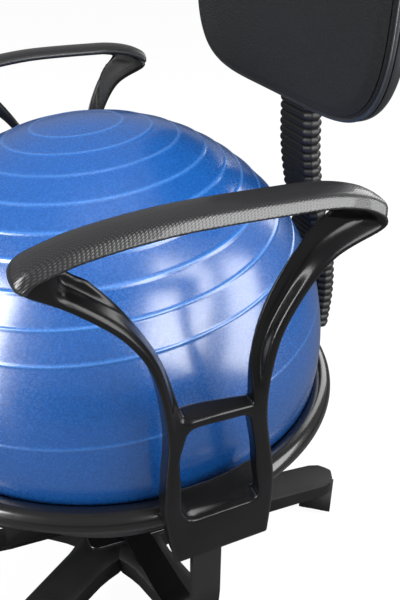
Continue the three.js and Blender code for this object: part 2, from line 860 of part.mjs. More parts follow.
// The pad sits over the frame's top edge like a cap, with a groove for the edge below it
function armPad() {
  const line = new THREE.SplineCurve(armTopShares.map(armPlace));
  const middle = armInner + armThickness / 2;
  const grooveHalf = armThickness / 2 + contactGap;
  const steps = outlineSteps * armTopShares.length;
  const groove = [
    new THREE.Vector2(middle - grooveHalf, -padOverlap),
    new THREE.Vector2(middle - grooveHalf, 2 * contactGap),
    new THREE.Vector2(middle + grooveHalf, 2 * contactGap),
    new THREE.Vector2(middle + grooveHalf, -padOverlap),
  ];
  const section = (height) => [
    ...groove,
    ...padSectionShares.map(([across, up]) => (
      new THREE.Vector2(middle + padOffset + padHalfWidth * across, height * up - padOverlap)
    )),
  ];
  const faces = THREE.ShapeUtils.triangulateShape(section(padThickness), []);
  const rings = line.getPoints(steps).map((place, i) => {
    const fromMiddle = Math.abs((2 * i) / steps - 1);
    const height = padThickness * THREE.MathUtils.lerp(1, padEndShare, fromMiddle ** padExponent);
    return section(height).map((point) => new THREE.Vector3(point.x, place.x, place.y + point.y));
  });
  return leanOut(loft(rings, faces));
}

function armBolt(azimuth) {
  const bolt = turned(armBoltProfile(0), smallSides).rotateY(quarter);
  return bolt.translate(ringRadius - ringTube, 0, ringLevel).rotateZ(azimuth * degrees);
}

function addArm(name, parent) {
  add(`arm_frame_${name}`, armFrame(), satinPlastic, parent);
  add(`arm_pad_${name}`, armPad(), rubber, parent);
  armBoltAzimuths.forEach((azimuth, i) => {
    add(`arm_bolt_${name}_${i + 1}`, armBolt(azimuth), zincSteel, parent);
  });
}

// Back bar: its line in Y and Z runs from the foot, round the ring and up to the backrest
const backBarLine = (() => {
  const line = new THREE.CurvePath();
  const places = backBarShares.map(([out, up]) => new THREE.Vector2(
    THREE.MathUtils.lerp(backBarFootY, backBarReachY, out),
    THREE.MathUtils.lerp(backBarFootTop, bracketBottom, up),
  ));
  const foot = new THREE.Vector2(backBarFootY, backBarFootBottom);
  const last = places[places.length - 1];
  line.add(new THREE.LineCurve(foot, places[0]));
  line.add(new THREE.SplineCurve(places));
  line.add(new THREE.LineCurve(last, new THREE.Vector2(last.x, backBarTop)));
  return line;
})();
const backBarTopY = backBarLine.getPoint(1).x;

function backBoltLevels() {
  const middle = backBarFootTop - backBarFootLength / 2;
  return [middle + backBoltSpacing / 2, middle - backBoltSpacing / 2];
}

// A hole along X through the rear bar and the back bar's foot, as both stand before turning
function backBoltHole(level) {
  const length = barThickness + backBarThickness + contactGap + 2 * overrun;
  const hole = rod(backBoltRadius + contactGap, length).rotateY(quarter);
  return hole.translate(barRadius - barThickness / 2 - overrun, 0, level);
}

function backBar() {
  const bar = slabAcrossX(stripShape(backBarLine.getPoints(lineSteps), backBarThickness), backBarWidth);
  return carve([bar], backBoltLevels().map((level) => backBoltHole(level).rotateZ(quarter)));
}

function backBarBolt(level) {
  const start = barRadius - barThickness / 2;
  const seat = backBarFootY + backBarThickness / 2 + contactGap;
  const bolt = turned(
    [
      [0, start],
      [backBoltRadius, start],
      [backBoltRadius, seat],
      [backBoltHeadRadius, seat],
      [backBoltHeadRadius, seat + backBoltHeadHeight],
      [0, seat + backBoltHeadHeight],
    ],
    smallSides,
  );
  return bolt.rotateX(-quarter).translate(0, 0, level);
}

// Ribbed sleeve: crests and valleys outside, a plain bore inside, along the back bar's line
function sleeveRing(place, tangent, halfWidth, halfDepth, corner) {
  const corners = [
    [halfWidth, halfDepth - corner],
    [halfWidth - corner, halfDepth],
    [corner - halfWidth, halfDepth],
    [-halfWidth, halfDepth - corner],
    [-halfWidth, corner - halfDepth],
    [corner - halfWidth, -halfDepth],
    [halfWidth - corner, -halfDepth],
    [halfWidth, corner - halfDepth],
  ];
  return corners.map(([side, out]) => new THREE.Vector3(
    side,
    place.x + tangent.y * out,
    place.y - tangent.x * out,
  ));
}

function backBarBellows() {
  const length = backBarLine.getLength();
  const top = length - bracketHeight - sleeveTopGap;
  const lowest = ringLevel + ringTube + sleeveRingGap;
  let bottom = top;
  while (backBarLine.getPointAt(bottom / length).y > lowest) bottom -= ribPitch;
  bottom += ribPitch;
  const ribCount = Math.round((top - bottom) / ribPitch);
  const ringAt = (share, halfWidth, halfDepth, corner) => {
    const at = THREE.MathUtils.lerp(bottom, top, share) / length;
    const place = backBarLine.getPointAt(at);
    return sleeveRing(place, backBarLine.getTangentAt(at), halfWidth, halfDepth, corner);
  };
  const rings = [];
  for (let i = 0; i <= 2 * ribCount; i += 1) {
    const inset = i % 2 ? 0 : ribHeight;
    rings.push(ringAt(i / (2 * ribCount), ribWidth / 2 - inset, ribDepth / 2 - inset, sleeveCorner));
  }
  const boreCount = Math.ceil(ribCount / ribsPerBoreRing);
  for (let i = boreCount; i >= 0; i -= 1) {
    rings.push(
      ringAt(i / boreCount, sleeveBoreWidth / 2, sleeveBoreDepth / 2, sleeveBoreCorner),
    );
  }
  rings.push(rings[0]);
  const positions = [];
  const sides = rings[0].length;
  for (let i = 0; i + 1 < rings.length; i += 1) {
    for (let k = 0; k < sides; k += 1) {
      const next = (k + 1) % sides;
      const quad = [rings[i][k], rings[i][next], rings[i + 1][next], rings[i + 1][k]];
      [0, 1, 2, 0, 2, 3].forEach((corner) => positions.push(...quad[corner].toArray()));
    }
  }
  const skin = new THREE.BufferGeometry();
  skin.setAttribute("position", new THREE.BufferAttribute(new Float32Array(positions), 3));
  return skin;
}

// Backrest: layers stacked forward from the rear cover's back, all bent alike across X
const flangeFront = backBarTopY - backBarThickness / 2 - slideGap - bracketWall - flangeThickness;
const backrestBack = flangeFront - contactGap;

function backrestRing(inset, share, depth) {
  const halfWidth = backrestHalfWidth - inset;
  const halfHeight = backrestHeight / 2 - inset;
  return Array.from({ length: backrestSides }, (_, i) => {
    const angle = (i / backrestSides) * 2 * Math.PI;
    const power = 2 / backrestExponent;
    const across = Math.sign(Math.cos(angle)) * Math.abs(Math.cos(angle)) ** power;
    const up = Math.sign(Math.sin(angle)) * Math.abs(Math.sin(angle)) ** power;
    const x = halfWidth * share * across;
    const bend = backrestBend * (x / backrestHalfWidth) ** 2;
    const z = backrestLevel + halfHeight * share * up;
    return new THREE.Vector3(x, backrestBack - bend - depth, z);
  });
}

// The rear cover is a shallow dish: its back turns forward to a rim near the edge
const shellTurnShares = [[0.94, 0.2], [0.98, 0.55], [1, 1]];

function backrestShell() {
  const turn = (inset, start) => shellTurnShares.map(([share, depth]) => (
    backrestRing(inset, share, start + (shellRound - start) * depth)
  ));
  const rings = [
    ...backrestRingShares.map((share) => backrestRing(0, share, 0)),
    ...turn(0, 0),
    backrestRing(0, 1, shellRim),
    backrestRing(shellWall, 1, shellRim),
    ...turn(shellWall, shellWall).reverse(),
    ...backrestRingShares.map((share) => backrestRing(0, share, shellWall)).reverse(),
  ];
  return carve([loft(rings)], [-1, 1].map(screwHole));
}

const panelBack = shellWall + contactGap;
const panelFront = panelBack + panelThickness;

function backrestPanel() {
  const shares = [...backrestRingShares, 1];
  const rings = [
    ...shares.map((share) => backrestRing(panelInset, share, panelBack)),
    ...shares.map((share) => backrestRing(panelInset, share, panelFront)).reverse(),
  ];
  return carve([loft(rings)], [-1, 1].map(screwHole));
}

// The crown falls away from the middle, and the rounded side is drawn in to the board
function backrestCushion() {
  const back = panelFront + contactGap;
  const edge = back + cushionEdge;
  const front = (share) => edge + cushionRound + (cushionCrown - cushionRound) * (1 - share ** 2);
  const frontShares = [...backrestRingShares, cushionFrontShare];
  const rings = [
    ...frontShares.map((share) => backrestRing(0, share, front(share))),
    ...cushionTurnShares.map(([inset, up]) => (
      backrestRing(cushionInset + cushionRound * inset, 1, edge + cushionRound * up)
    )),
    backrestRing(cushionInset, 1, back + cushionEdge * cushionSideShare),
    backrestRing(cushionInset + cushionRound, 1, back),
    ...backrestRingShares.map((share) => backrestRing(0, share, back)).reverse(),
  ];
  return loft(rings);
}

function screwHole(side) {
  const length = flangeFront + flangeThickness - backrestBack + panelBack + screwDepth + overrun;
  const hole = rod(screwRadius + contactGap, length).rotateX(quarter);
  return hole.translate(side * screwOffset, flangeFront + flangeThickness + overrun, bracketLevel);
}

function bracketScrew(side) {
  const reach = flangeFront + flangeThickness - backrestBack + panelBack + screwDepth - contactGap;
  const screw = turned(
    [
      [0, 0],
      [screwRadius, 0],
      [screwRadius, reach + contactGap],
      [screwHeadRadius, reach + contactGap],
      [screwHeadRadius, reach + contactGap + screwHeadHeight],
      [0, reach + contactGap + screwHeadHeight],
    ],
    smallSides,
  ).rotateX(-quarter);
  return screw.translate(side * screwOffset, flangeFront + flangeThickness - reach, bracketLevel);
}

function box(width, depth, height, place) {
  return new THREE.BoxGeometry(width, depth, height).translate(...place);
}

function backrestBracket() {
  const slotWidth = backBarWidth + 2 * slideGap;
  const slotDepth = backBarThickness + slideGap + clampGap;
  const place = [0, backBarTopY + (clampGap - slideGap) / 2, bracketLevel];
  const sleeve = box(
    slotWidth + 2 * bracketWall,
    slotDepth + 2 * bracketWall,
    bracketHeight,
    place,
  );
  const flange = box(
    2 * flangeHalf,
    flangeThickness + contactGap,
    bracketHeight,
    [0, flangeFront + (flangeThickness + contactGap) / 2, bracketLevel],
  );
  const slot = box(slotWidth, slotDepth, bracketHeight + 2 * overrun, place);
  const holeLength = bracketWall + 2 * overrun;
  const shaftHole = rod(knobShaftRadius + contactGap, holeLength, turningSides);
  shaftHole.rotateX(-quarter).translate(0, place[1] + slotDepth / 2 - overrun, knobLevel);
  return carve([sleeve, flange], [slot, shaftHole, ...[-1, 1].map(screwHole)]);
}

const knobLevel = bracketLevel - slideTravel / 2;

function heightKnob() {
  const outline = Array.from({ length: knobSides }, (_, i) => {
    const angle = (i / knobSides) * 2 * Math.PI;
    const radius = knobRadius + knobLobe * Math.cos(knobLobes * angle);
    return new THREE.Vector2(radius * Math.cos(angle), radius * Math.sin(angle));
  });
  const sleeveBack = backBarTopY + backBarThickness / 2 + clampGap + bracketWall;
  const grip = slabAcrossY(new THREE.Shape(outline), knobThickness, knobEdge);
  grip.translate(0, sleeveBack + slideGap + knobThickness / 2, 0);
  const start = backBarTopY + backBarThickness / 2 + clampGap;
  const shaft = rod(knobShaftRadius, sleeveBack + knobThickness / 2 - start, turningSides);
  shaft.rotateX(-quarter).translate(0, start, 0);
  return carve([grip, shaft], []).translate(0, 0, knobLevel);
}

// Assembly
add("ball_shell", ballShell(), ballVinyl);
add("ball_plug", ballPlug(), rubber);
add("support_ring", supportRing(), glossPaint);
add("seat_bowl", seatBowl(), greyPlastic);
add("hub_plate", hubPlate(), glossPaint);
Object.entries(barAzimuths).forEach(([name, azimuth]) => {
  add(`support_bar_${name}`, supportBar(name), glossPaint);
  add(`ring_bolt_${name}`, ringBolt(azimuth), zincSteel);
});
add("star_base", starBase(), satinPlastic);
add("base_post", basePost(), zincSteel);
add("base_nut", baseNut(), zincSteel);
legAzimuths.forEach((azimuth, i) => addCaster(i + 1, azimuth));

// The sitter's left side is at +X, and the other side mirrors it
const otherSide = new THREE.Group();
otherSide.scale.x = -1;
chair.add(otherSide);
addArm("left", chair);
addArm("right", otherSide);

add("back_bar", backBar(), glossPaint);
add("back_bar_bellows", backBarBellows(), rubber);
backBoltLevels().forEach((level, i) => add(`back_bar_bolt_${i + 1}`, backBarBolt(level), zincSteel));
add("backrest_panel", backrestPanel(), board);
add("backrest_cushion", backrestCushion(), blackFabric);
add("backrest_shell", backrestShell(), satinPlastic);
add("backrest_bracket", backrestBracket(), glossPaint);
add("bracket_screw_left", bracketScrew(1), zincSteel);
add("bracket_screw_right", bracketScrew(-1), zincSteel);
add("height_knob", heightKnob(), satinPlastic);

// The pieces are built about the ball's axis; the part's origin is under the middle of its box
const middle = new THREE.Box3().setFromObject(chair, true).getCenter(new THREE.Vector3());
chair.position.set(-middle.x, -middle.y, 0);
const part = new THREE.Group();
part.add(chair);

export default part;
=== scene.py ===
"""Balance ball chair: the finished look of each piece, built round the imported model.

The chair is described about the ball's upright axis in millimetres and placed in metres.
+Z is up, the sitter faces -Y, and the near armrest stands at +X.
"""
import json
import math

import bmesh
import bpy
import numpy as np
from mathutils import Matrix, Vector


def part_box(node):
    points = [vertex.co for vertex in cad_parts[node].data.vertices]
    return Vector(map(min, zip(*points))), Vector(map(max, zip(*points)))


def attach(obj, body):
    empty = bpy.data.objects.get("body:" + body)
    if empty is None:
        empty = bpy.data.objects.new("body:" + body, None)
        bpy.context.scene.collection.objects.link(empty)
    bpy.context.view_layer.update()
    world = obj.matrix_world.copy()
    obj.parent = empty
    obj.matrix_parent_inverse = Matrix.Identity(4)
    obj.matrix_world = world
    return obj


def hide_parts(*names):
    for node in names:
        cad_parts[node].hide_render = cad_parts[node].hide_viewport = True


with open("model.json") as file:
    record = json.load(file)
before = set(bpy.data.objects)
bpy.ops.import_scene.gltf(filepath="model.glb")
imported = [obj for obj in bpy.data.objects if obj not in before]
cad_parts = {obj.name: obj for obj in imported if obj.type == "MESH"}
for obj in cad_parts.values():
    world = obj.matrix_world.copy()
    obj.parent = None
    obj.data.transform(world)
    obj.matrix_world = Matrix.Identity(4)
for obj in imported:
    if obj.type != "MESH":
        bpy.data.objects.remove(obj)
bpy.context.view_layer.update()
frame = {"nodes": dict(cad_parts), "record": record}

MM = 0.001
ball_low, ball_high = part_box("ball_shell")
AXIS = np.array([(ball_low[0] + ball_high[0]) / 2, (ball_low[1] + ball_high[1]) / 2, 0.0])

# Sizes of the chair in millimetres
BALL_RADIUS = 250.0
BALL_CENTRE = 419.82
BALL_FLOOR = 232.2
BALL_LOWER = 236.4
RING_RADIUS = 254.63
RING_TUBE = 12.5
RING_LEVEL = 364.82
BOWL_OUTER = 240.5
BOWL_INNER = 237.0
RIM_TOP = 352.02
RIM_BOTTOM = 349.02
ARM_INNER = 262.03
ARM_THICKNESS = 26.5
ARM_LEAN = 0.09
ARM_LENGTH = 278.0
ARM_HEIGHT = 360.0
ARM_FORWARD = 128.0
ARM_FOOT = BALL_CENTRE - 96.0
BAR_FOOT_Y = 247.33
BAR_REACH_Y = RING_RADIUS + 22.4
BAR_FOOT_TOP = RING_LEVEL - 60.0
BAR_HALF = 3
BRACKET_BOTTOM = 717.82
BRACKET_TOP = 817.82
BRACKET_WALL = 5.6
BRACKET_FLANGE = 3.7
CLAMP_GAP = 2.2
SLIDE_GAP = 0.4
CONTACT_GAP = 0.3
KNOB_LEVEL = 742.82


# ---------------------------------------------------------------- materials
def linear(hex_colour):
    """sRGB hex to linear RGBA: each channel c is c/12.92 below 0.04045, else ((c+0.055)/1.055)^2.4."""
    channels = [int(hex_colour[i:i + 2], 16) / 255 for i in (1, 3, 5)]
    return [c / 12.92 if c <= 0.04045 else ((c + 0.055) / 1.055) ** 2.4 for c in channels] + [1.0]


def add_node(tree, kind, links=None, **settings):
    """Adds one node; settings name its properties or input sockets. Links feed its inputs, by name
    or number, with another node's output or a plain value."""
    node = tree.nodes.new(kind)
    for name, value in settings.items():
        if hasattr(node, name):
            setattr(node, name, value)
        else:
            node.inputs[name.replace("_", " ")].default_value = value
    for name, source in (links or {}).items():
        if isinstance(source, bpy.types.NodeSocket):
            tree.links.new(source, node.inputs[name])
        else:
            node.inputs[name].default_value = source
    return node


def new_finish(name, colour, roughness, **settings):
    """A material with one Principled shader; returns it with its tree and the shader."""
    finish = bpy.data.materials.new(name)
    finish.use_nodes = True
    tree = finish.node_tree
    shader = tree.nodes["Principled BSDF"]
    shader.inputs["Base Color"].default_value = linear(colour)
    shader.inputs["Roughness"].default_value = roughness
    for socket, value in settings.items():
        shader.inputs[socket.replace("_", " ")].default_value = value
    return finish, tree, shader


def texture_space(tree):
    """The piece's own coordinates in metres, which stay with it at every pose."""
    return add_node(tree, "ShaderNodeTexCoord").outputs["Object"]


def noise(tree, scale, detail):
    """Noise from 0 to 1 with that many cells a metre."""
    space = {"Vector": texture_space(tree)}
    return add_node(tree, "ShaderNodeTexNoise", space, Scale=scale, Detail=detail).outputs["Fac"]


def relief(tree, shader, height, strength, depth):
    """Bumps the surface by a height from 0 to 1; depth is what 1 stands for, in metres."""
    bump = add_node(tree, "ShaderNodeBump", {"Height": height}, Strength=strength, Distance=depth)
    tree.links.new(bump.outputs["Normal"], shader.inputs["Normal"])


def stain(tree, source, colours, span=(0.0, 1.0)):
    """A colour that goes from one to the other while the source crosses the span."""
    ramp = add_node(tree, "ShaderNodeValToRGB", {"Fac": source})
    for element, place, colour in zip(ramp.color_ramp.elements, span, colours):
        element.position = place
        element.color = linear(colour)
    return ramp.outputs["Color"]


def roughen(tree, shader, source, low, high):
    """Roughness that goes from low to high with the source."""
    span = add_node(tree, "ShaderNodeMapRange", {"Value": source}, To_Min=low, To_Max=high)
    tree.links.new(span.outputs["Result"], shader.inputs["Roughness"])


def grain(tree, shader, scale, strength, depth):
    """Fine bump from noise of that many cells a metre."""
    relief(tree, shader, noise(tree, scale, 2.0), strength, depth)


def mottle(tree, shader, scale, colours):
    """Base colour that wanders between two colours with noise of that many cells a metre."""
    tone = stain(tree, noise(tree, scale, 3.0), colours, (0.35, 0.65))
    tree.links.new(tone, shader.inputs["Base Color"])


def wear(tree, shader, scale, low, high):
    """Roughness that wanders between low and high, as handled or moulded surfaces do."""
    roughen(tree, shader, noise(tree, scale, 4.0), low, high)


def pearl_vinyl():
    """PVC film with mica flakes: a clear skin over glitter that sparkles in the highlights."""
    finish, tree, shader = new_finish(
        "pearl_vinyl", "#1659a8", 0.3, Specular_IOR_Level=0.9,
        Coat_Weight=0.8, Coat_Roughness=0.2, Coat_IOR=1.6,
    )
    space = texture_space(tree)
    # flakes about 1.2 mm apart, drawn coarser than real mica so that they show
    flakes = add_node(tree, "ShaderNodeTexVoronoi", {"Vector": space}, Scale=820.0)
    tone = add_node(tree, "ShaderNodeSeparateColor", {"Color": flakes.outputs["Color"]}).outputs
    deep = stain(tree, tone["Red"], ("#093972", "#104888"))
    # painted highlight: along the moulded ridges' crests the colour is mixed towards a paler blue
    crest_highlight = add_node(tree, "ShaderNodeAttribute", attribute_name="ridge")
    # sockets 6 and 7 are the two colours of a colour mix, and output 2 is its result
    ends = {"Factor": crest_highlight.outputs["Fac"], 6: deep, 7: linear("#5b97e0")}
    painted_highlight = add_node(tree, "ShaderNodeMix", ends, data_type="RGBA")
    tree.links.new(painted_highlight.outputs[2], shader.inputs["Base Color"])
    roughen(tree, shader, tone["Green"], 0.18, 0.34)
    relief(tree, shader, tone["Blue"], 0.26, 0.0002)
    return finish


def gloss_enamel():
    """Baked gloss enamel on steel: deep black, mirror-like, with a faint orange peel."""
    finish, tree, shader = new_finish(
        "gloss_enamel", "#0b0b0c", 0.24, Coat_Weight=0.7, Coat_Roughness=0.1,
    )
    grain(tree, shader, 260.0, 0.08, 0.0004)
    wear(tree, shader, 40.0, 0.18, 0.3)
    return finish


def moulded_nylon():
    """Glass-filled nylon, moulded in a spark-eroded tool: a matte black fine grain."""
    finish, tree, shader = new_finish("moulded_nylon", "#131314", 0.5)
    grain(tree, shader, 900.0, 0.25, 0.0003)
    mottle(tree, shader, 30.0, ("#0d0d0e", "#151516"))
    return finish


def satin_nylon():
    """Nylon from a polished tool: satin black with soft highlights along its rounded edges."""
    finish, tree, shader = new_finish("satin_nylon", "#0e0e10", 0.3, Specular_IOR_Level=0.4)
    grain(tree, shader, 1200.0, 0.12, 0.0002)
    wear(tree, shader, 25.0, 0.18, 0.26)
    mottle(tree, shader, 18.0, ("#0a0a0b", "#0f0f11"))
    return finish


def knurled_rubber():
    """Soft urethane skin with a fine diagonal knurl, about 1.7 mm between its ridges each way."""
    finish, tree, shader = new_finish(
        "knurled_rubber", "#1c1c1e", 0.32, Specular_IOR_Level=0.7, Coat_Weight=0.4,
    )
    space = texture_space(tree)
    waves = {}
    for number, turn in enumerate(((0.0, 0.6, 0.75), (0.6, -0.5, -0.9))):
        lay = add_node(tree, "ShaderNodeMapping", {"Vector": space}, Rotation=turn)
        wave = add_node(tree, "ShaderNodeTexWave", {"Vector": lay.outputs["Vector"]}, Scale=190.0)
        waves[number] = wave.outputs["Fac"]
    cross = add_node(tree, "ShaderNodeMath", waves, operation="MULTIPLY").outputs["Value"]
    relief(tree, shader, cross, 0.35, 0.0005)
    # painted shade and highlight: the knurl's grooves are coloured darker and its raised points paler,
    # following the bump's height
    tree.links.new(stain(tree, cross, ("#121213", "#29292b")), shader.inputs["Base Color"])
    return finish


def ribbed_rubber():
    """Moulded EPDM rubber: satin black with a fine grain, its gloss uneven."""
    finish, tree, shader = new_finish("ribbed_rubber", "#151516", 0.45)
    grain(tree, shader, 700.0, 0.15, 0.0003)
    wear(tree, shader, 60.0, 0.36, 0.55)
    return finish


def woven_cloth():
    """Plain-woven polyester over foam: threads 2.4 mm apart, drawn coarse so that the weave
    shows, with a soft sheen."""
    finish, tree, shader = new_finish(
        "woven_cloth", "#1d1e22", 0.85, Sheen_Weight=0.15, Sheen_Roughness=0.4,
        Sheen_Tint=linear("#8c8d92"), Specular_IOR_Level=0.3,
    )
    space = texture_space(tree)
    warp, weft = (
        add_node(
            tree, "ShaderNodeTexWave", {"Vector": space},
            bands_direction=way, Scale=130.0, Distortion=1.5, Detail_Scale=200.0,
        ).outputs["Fac"]
        for way in "XZ"
    )
    cross = add_node(tree, "ShaderNodeMath", {0: warp, 1: weft}, operation="MULTIPLY").outputs["Value"]
    fleck = noise(tree, 480.0, 2.0)
    height = add_node(tree, "ShaderNodeMath", {0: cross, 1: fleck}, operation="ADD")
    relief(tree, shader, height.outputs["Value"], 0.5, 0.0005)
    tone = stain(tree, fleck, ("#0a0a0b", "#151618"), (0.3, 0.72))
    tree.links.new(tone, shader.inputs["Base Color"])
    return finish


def moulded_plastic(name, colours, roughness):
    """ABS or polypropylene from a textured tool: an even satin with a faint grain."""
    finish, tree, shader = new_finish(name, colours[0], roughness)
    grain(tree, shader, 1000.0, 0.15, 0.00025)
    mottle(tree, shader, 22.0, colours)
    return finish


def zinc_plate():
    """Bright zinc on steel: grey metal with fine turning marks."""
    finish, tree, shader = new_finish("zinc_plate", "#b8babd", 0.32, Metallic=1.0)
    grain(tree, shader, 1500.0, 0.15, 0.0002)
    wear(tree, shader, 300.0, 0.25, 0.42)
    return finish


def pressed_board():
    """Pressed beech ply: brown fibres about 4 mm apart, laid along X."""
    finish, tree, shader = new_finish("pressed_board", "#8f6e48", 0.75)
    fibres = add_node(
        tree, "ShaderNodeTexWave", {"Vector": texture_space(tree)},
        bands_direction="Z", Scale=80.0, Distortion=4.0,
    )
    tone = stain(tree, fibres.outputs["Fac"], ("#7a5c3a", "#9c7a52"))
    tree.links.new(tone, shader.inputs["Base Color"])
    return finish


PEARL = pearl_vinyl()
ENAMEL = gloss_enamel()
NYLON = moulded_nylon()
SATIN = satin_nylon()
KNURL = knurled_rubber()
RUBBER = ribbed_rubber()
CLOTH = woven_cloth()
COVER = moulded_plastic("cover_plastic", ("#26272a", "#2f3033"), 0.3)
BOWL = moulded_plastic("bowl_plastic", ("#333437", "#3b3c3f"), 0.32)
TREAD = moulded_plastic("tread_plastic", ("#1b1b1c", "#242426"), 0.5)
PLUG = moulded_plastic("plug_vinyl", ("#9a9ca0", "#a9abb0"), 0.4)
ZINC = zinc_plate()
BOARD = pressed_board()


# ---------------------------------------------------------------- mesh making
def piece(name, points, faces, finish, body, nodes=(), sharp=40):
    """Makes a mesh from chair points in millimetres (n, 3) and faces; it rides on a body."""
    mesh = bpy.data.meshes.new(name)
    placed = np.asarray(points, float).reshape(-1, 3) * MM + AXIS
    mesh.from_pydata(placed.tolist(), [], [list(map(int, f)) for f in faces])
    mesh.update()
    return finish_piece(name, mesh, finish, body, nodes, sharp)


def finish_piece(name, mesh, finish, body, nodes=(), sharp=40):
    """Turns the faces outward, shades the mesh, gives it its finish, hangs it on its body and hides the
    nodes it replaces.
    """
    shape = bmesh.new()
    shape.from_mesh(mesh)
    bmesh.ops.recalc_face_normals(shape, faces=shape.faces)
    shape.to_mesh(mesh)
    shape.free()
    mesh.polygons.foreach_set("use_smooth", [True] * len(mesh.polygons))
    if sharp < 180:
        mesh.set_sharp_from_angle(angle=math.radians(sharp))
    obj = bpy.data.objects.new(name, mesh)
    bpy.context.scene.collection.objects.link(obj)
    mesh.materials.clear()
    mesh.materials.append(finish)
    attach(obj, body)
    if nodes:
        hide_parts(*nodes)
    return obj


def grid_faces(rows, columns, close_rows=False):
    """Quads of a grid closed along its columns, whose point (i, j) has number i * columns + j."""
    i = np.arange(rows if close_rows else rows - 1)
    i, j = np.meshgrid(i, np.arange(columns), indexing="ij")
    i, j = i.ravel(), j.ravel()
    below, right = (i + 1) % rows, (j + 1) % columns
    corners = ((i, j), (i, right), (below, right), (below, j))
    return np.stack([a * columns + b for a, b in corners], 1).tolist()


def skin(rings):
    """A row of rings (rows, columns, 3) as points and faces; both ends are closed by one face."""
    rings = np.asarray(rings, float)
    rows, columns = rings.shape[:2]
    faces = grid_faces(rows, columns)
    faces.append(list(range(columns))[::-1])
    faces.append([(rows - 1) * columns + k for k in range(columns)])
    return rings.reshape(-1, 3), faces


def joined(parts):
    """Several (points, faces) as one."""
    points, faces, start = [], [], 0
    for some, quads in parts:
        points.append(np.asarray(some, float).reshape(-1, 3))
        faces += [[start + k for k in face] for face in quads]
        start += len(points[-1])
    return np.concatenate(points), faces


def revolved(profile, sides):
    """Points (r cos a, r sin a, h) for each [r, h] of a closed profile and each of the angles a."""
    profile = np.asarray(profile, float)
    angle = np.arange(sides) / sides * 2 * math.pi
    r, h = profile[:, :1], profile[:, 1:]
    rings = np.stack([r * np.cos(angle), r * np.sin(angle), h + 0 * angle], 2)
    return rings.reshape(-1, 3), grid_faces(len(profile), sides, close_rows=True)


def rounded_corners(profile, radius, steps=4, closed=True):
    """Rounds each corner of a flat outline: a quadratic curve between points radius back and on, or
    0.45 of the side where that is shorter."""
    profile = np.asarray(profile, float)
    count = len(profile)
    rows = []
    for k in range(count):
        if not closed and k in (0, count - 1):
            rows.append(profile[k:k + 1])
            continue
        before, here, after = profile[k - 1], profile[k], profile[(k + 1) % count]
        a, b = (
            here + way * (min(radius, np.linalg.norm(way) * 0.45) / max(np.linalg.norm(way), 1e-9))
            for way in (before - here, after - here)
        )
        t = np.linspace(0, 1, steps + 1)[:, None]
        rows.append((1 - t) ** 2 * a + 2 * t * (1 - t) * here + t ** 2 * b)
    return np.concatenate(rows)


def spline(points, steps):
    """Smooth curve through points: each span is a cubic with half the chord of its neighbours as
    slope at each end; steps points a span."""
    points = np.asarray(points, float)
    last = len(points) - 1
    at = np.arange(last * steps + 1) / steps
    i = np.minimum(at.astype(int), last - 1)
    t = (at - i)[:, None]
    p0, p1, p2, p3 = (points[np.clip(i + k, 0, last)] for k in (-1, 0, 1, 2))
    v0, v1 = (p2 - p0) / 2, (p3 - p1) / 2
    return (2 * p1 - 2 * p2 + v0 + v1) * t ** 3 + (3 * p2 - 3 * p1 - 2 * v0 - v1) * t ** 2 + v0 * t + p1


def rounded_copy(node, width, finish, body, segments=3, name=None):
    """A node's own shape with its edges rounded: its triangles merged and flat faces joined."""
    mesh = frame["nodes"][node].data.copy()
    shape = bmesh.new()
    shape.from_mesh(mesh)
    bmesh.ops.remove_doubles(shape, verts=shape.verts, dist=1e-6)
    bmesh.ops.dissolve_limit(
        shape, angle_limit=math.radians(1), verts=shape.verts, edges=shape.edges,
    )
    shape.to_mesh(mesh)
    shape.free()
    obj = finish_piece(name or node + "_finished", mesh, finish, body, (node,))
    bevel = obj.modifiers.new("edges", "BEVEL")
    bevel.width = width * MM
    bevel.segments = segments
    bevel.limit_method = "ANGLE"
    bevel.angle_limit = math.radians(32)
    bevel.use_clamp_overlap = True
    obj.modifiers.new("shading", "WEIGHTED_NORMAL").keep_sharp = False
    return obj


# ---------------------------------------------------------------- ball
# The ball eases in between these two angles below its middle, in degrees
EASE_FROM = 9.05
EASE_TO = 16.67
# Ridges of the ball: height along its own axis and rise, millimetres
RIDGES = np.array([
    (245.4, 0.5), (237.8, 0.5), (227.1, 0.5), (213.8, 0.6), (200.3, 0.6),
    (187.4, 0.7), (170.5, 0.8), (148.6, 0.8), (122.6, 0.8), (50.0, 0.45),
])
RIDGE_WIDTH = 1.5
# How far the painted highlight takes the colour towards its paler one along the highest ridge
CREST_HIGHLIGHT_SHARE = 0.28
# The ridges' own axis: the moulded rings near the top sit a little off those lower down
POLE_TOP = np.array([-0.023, -0.077, 0.997])
POLE_LOW = np.array([0.073, -0.100, 0.992])


def ball_radius(height_share):
    """Distance from the ball's centre: full above the ring, then eased in to the dish below it."""
    drop = np.degrees(np.arcsin(np.clip(-height_share, -1, 1)))
    share = np.clip((EASE_TO - drop) / (EASE_TO - EASE_FROM), 0, 1)
    return BALL_LOWER + (BALL_RADIUS - BALL_LOWER) * share ** 2 * (3 - 2 * share)


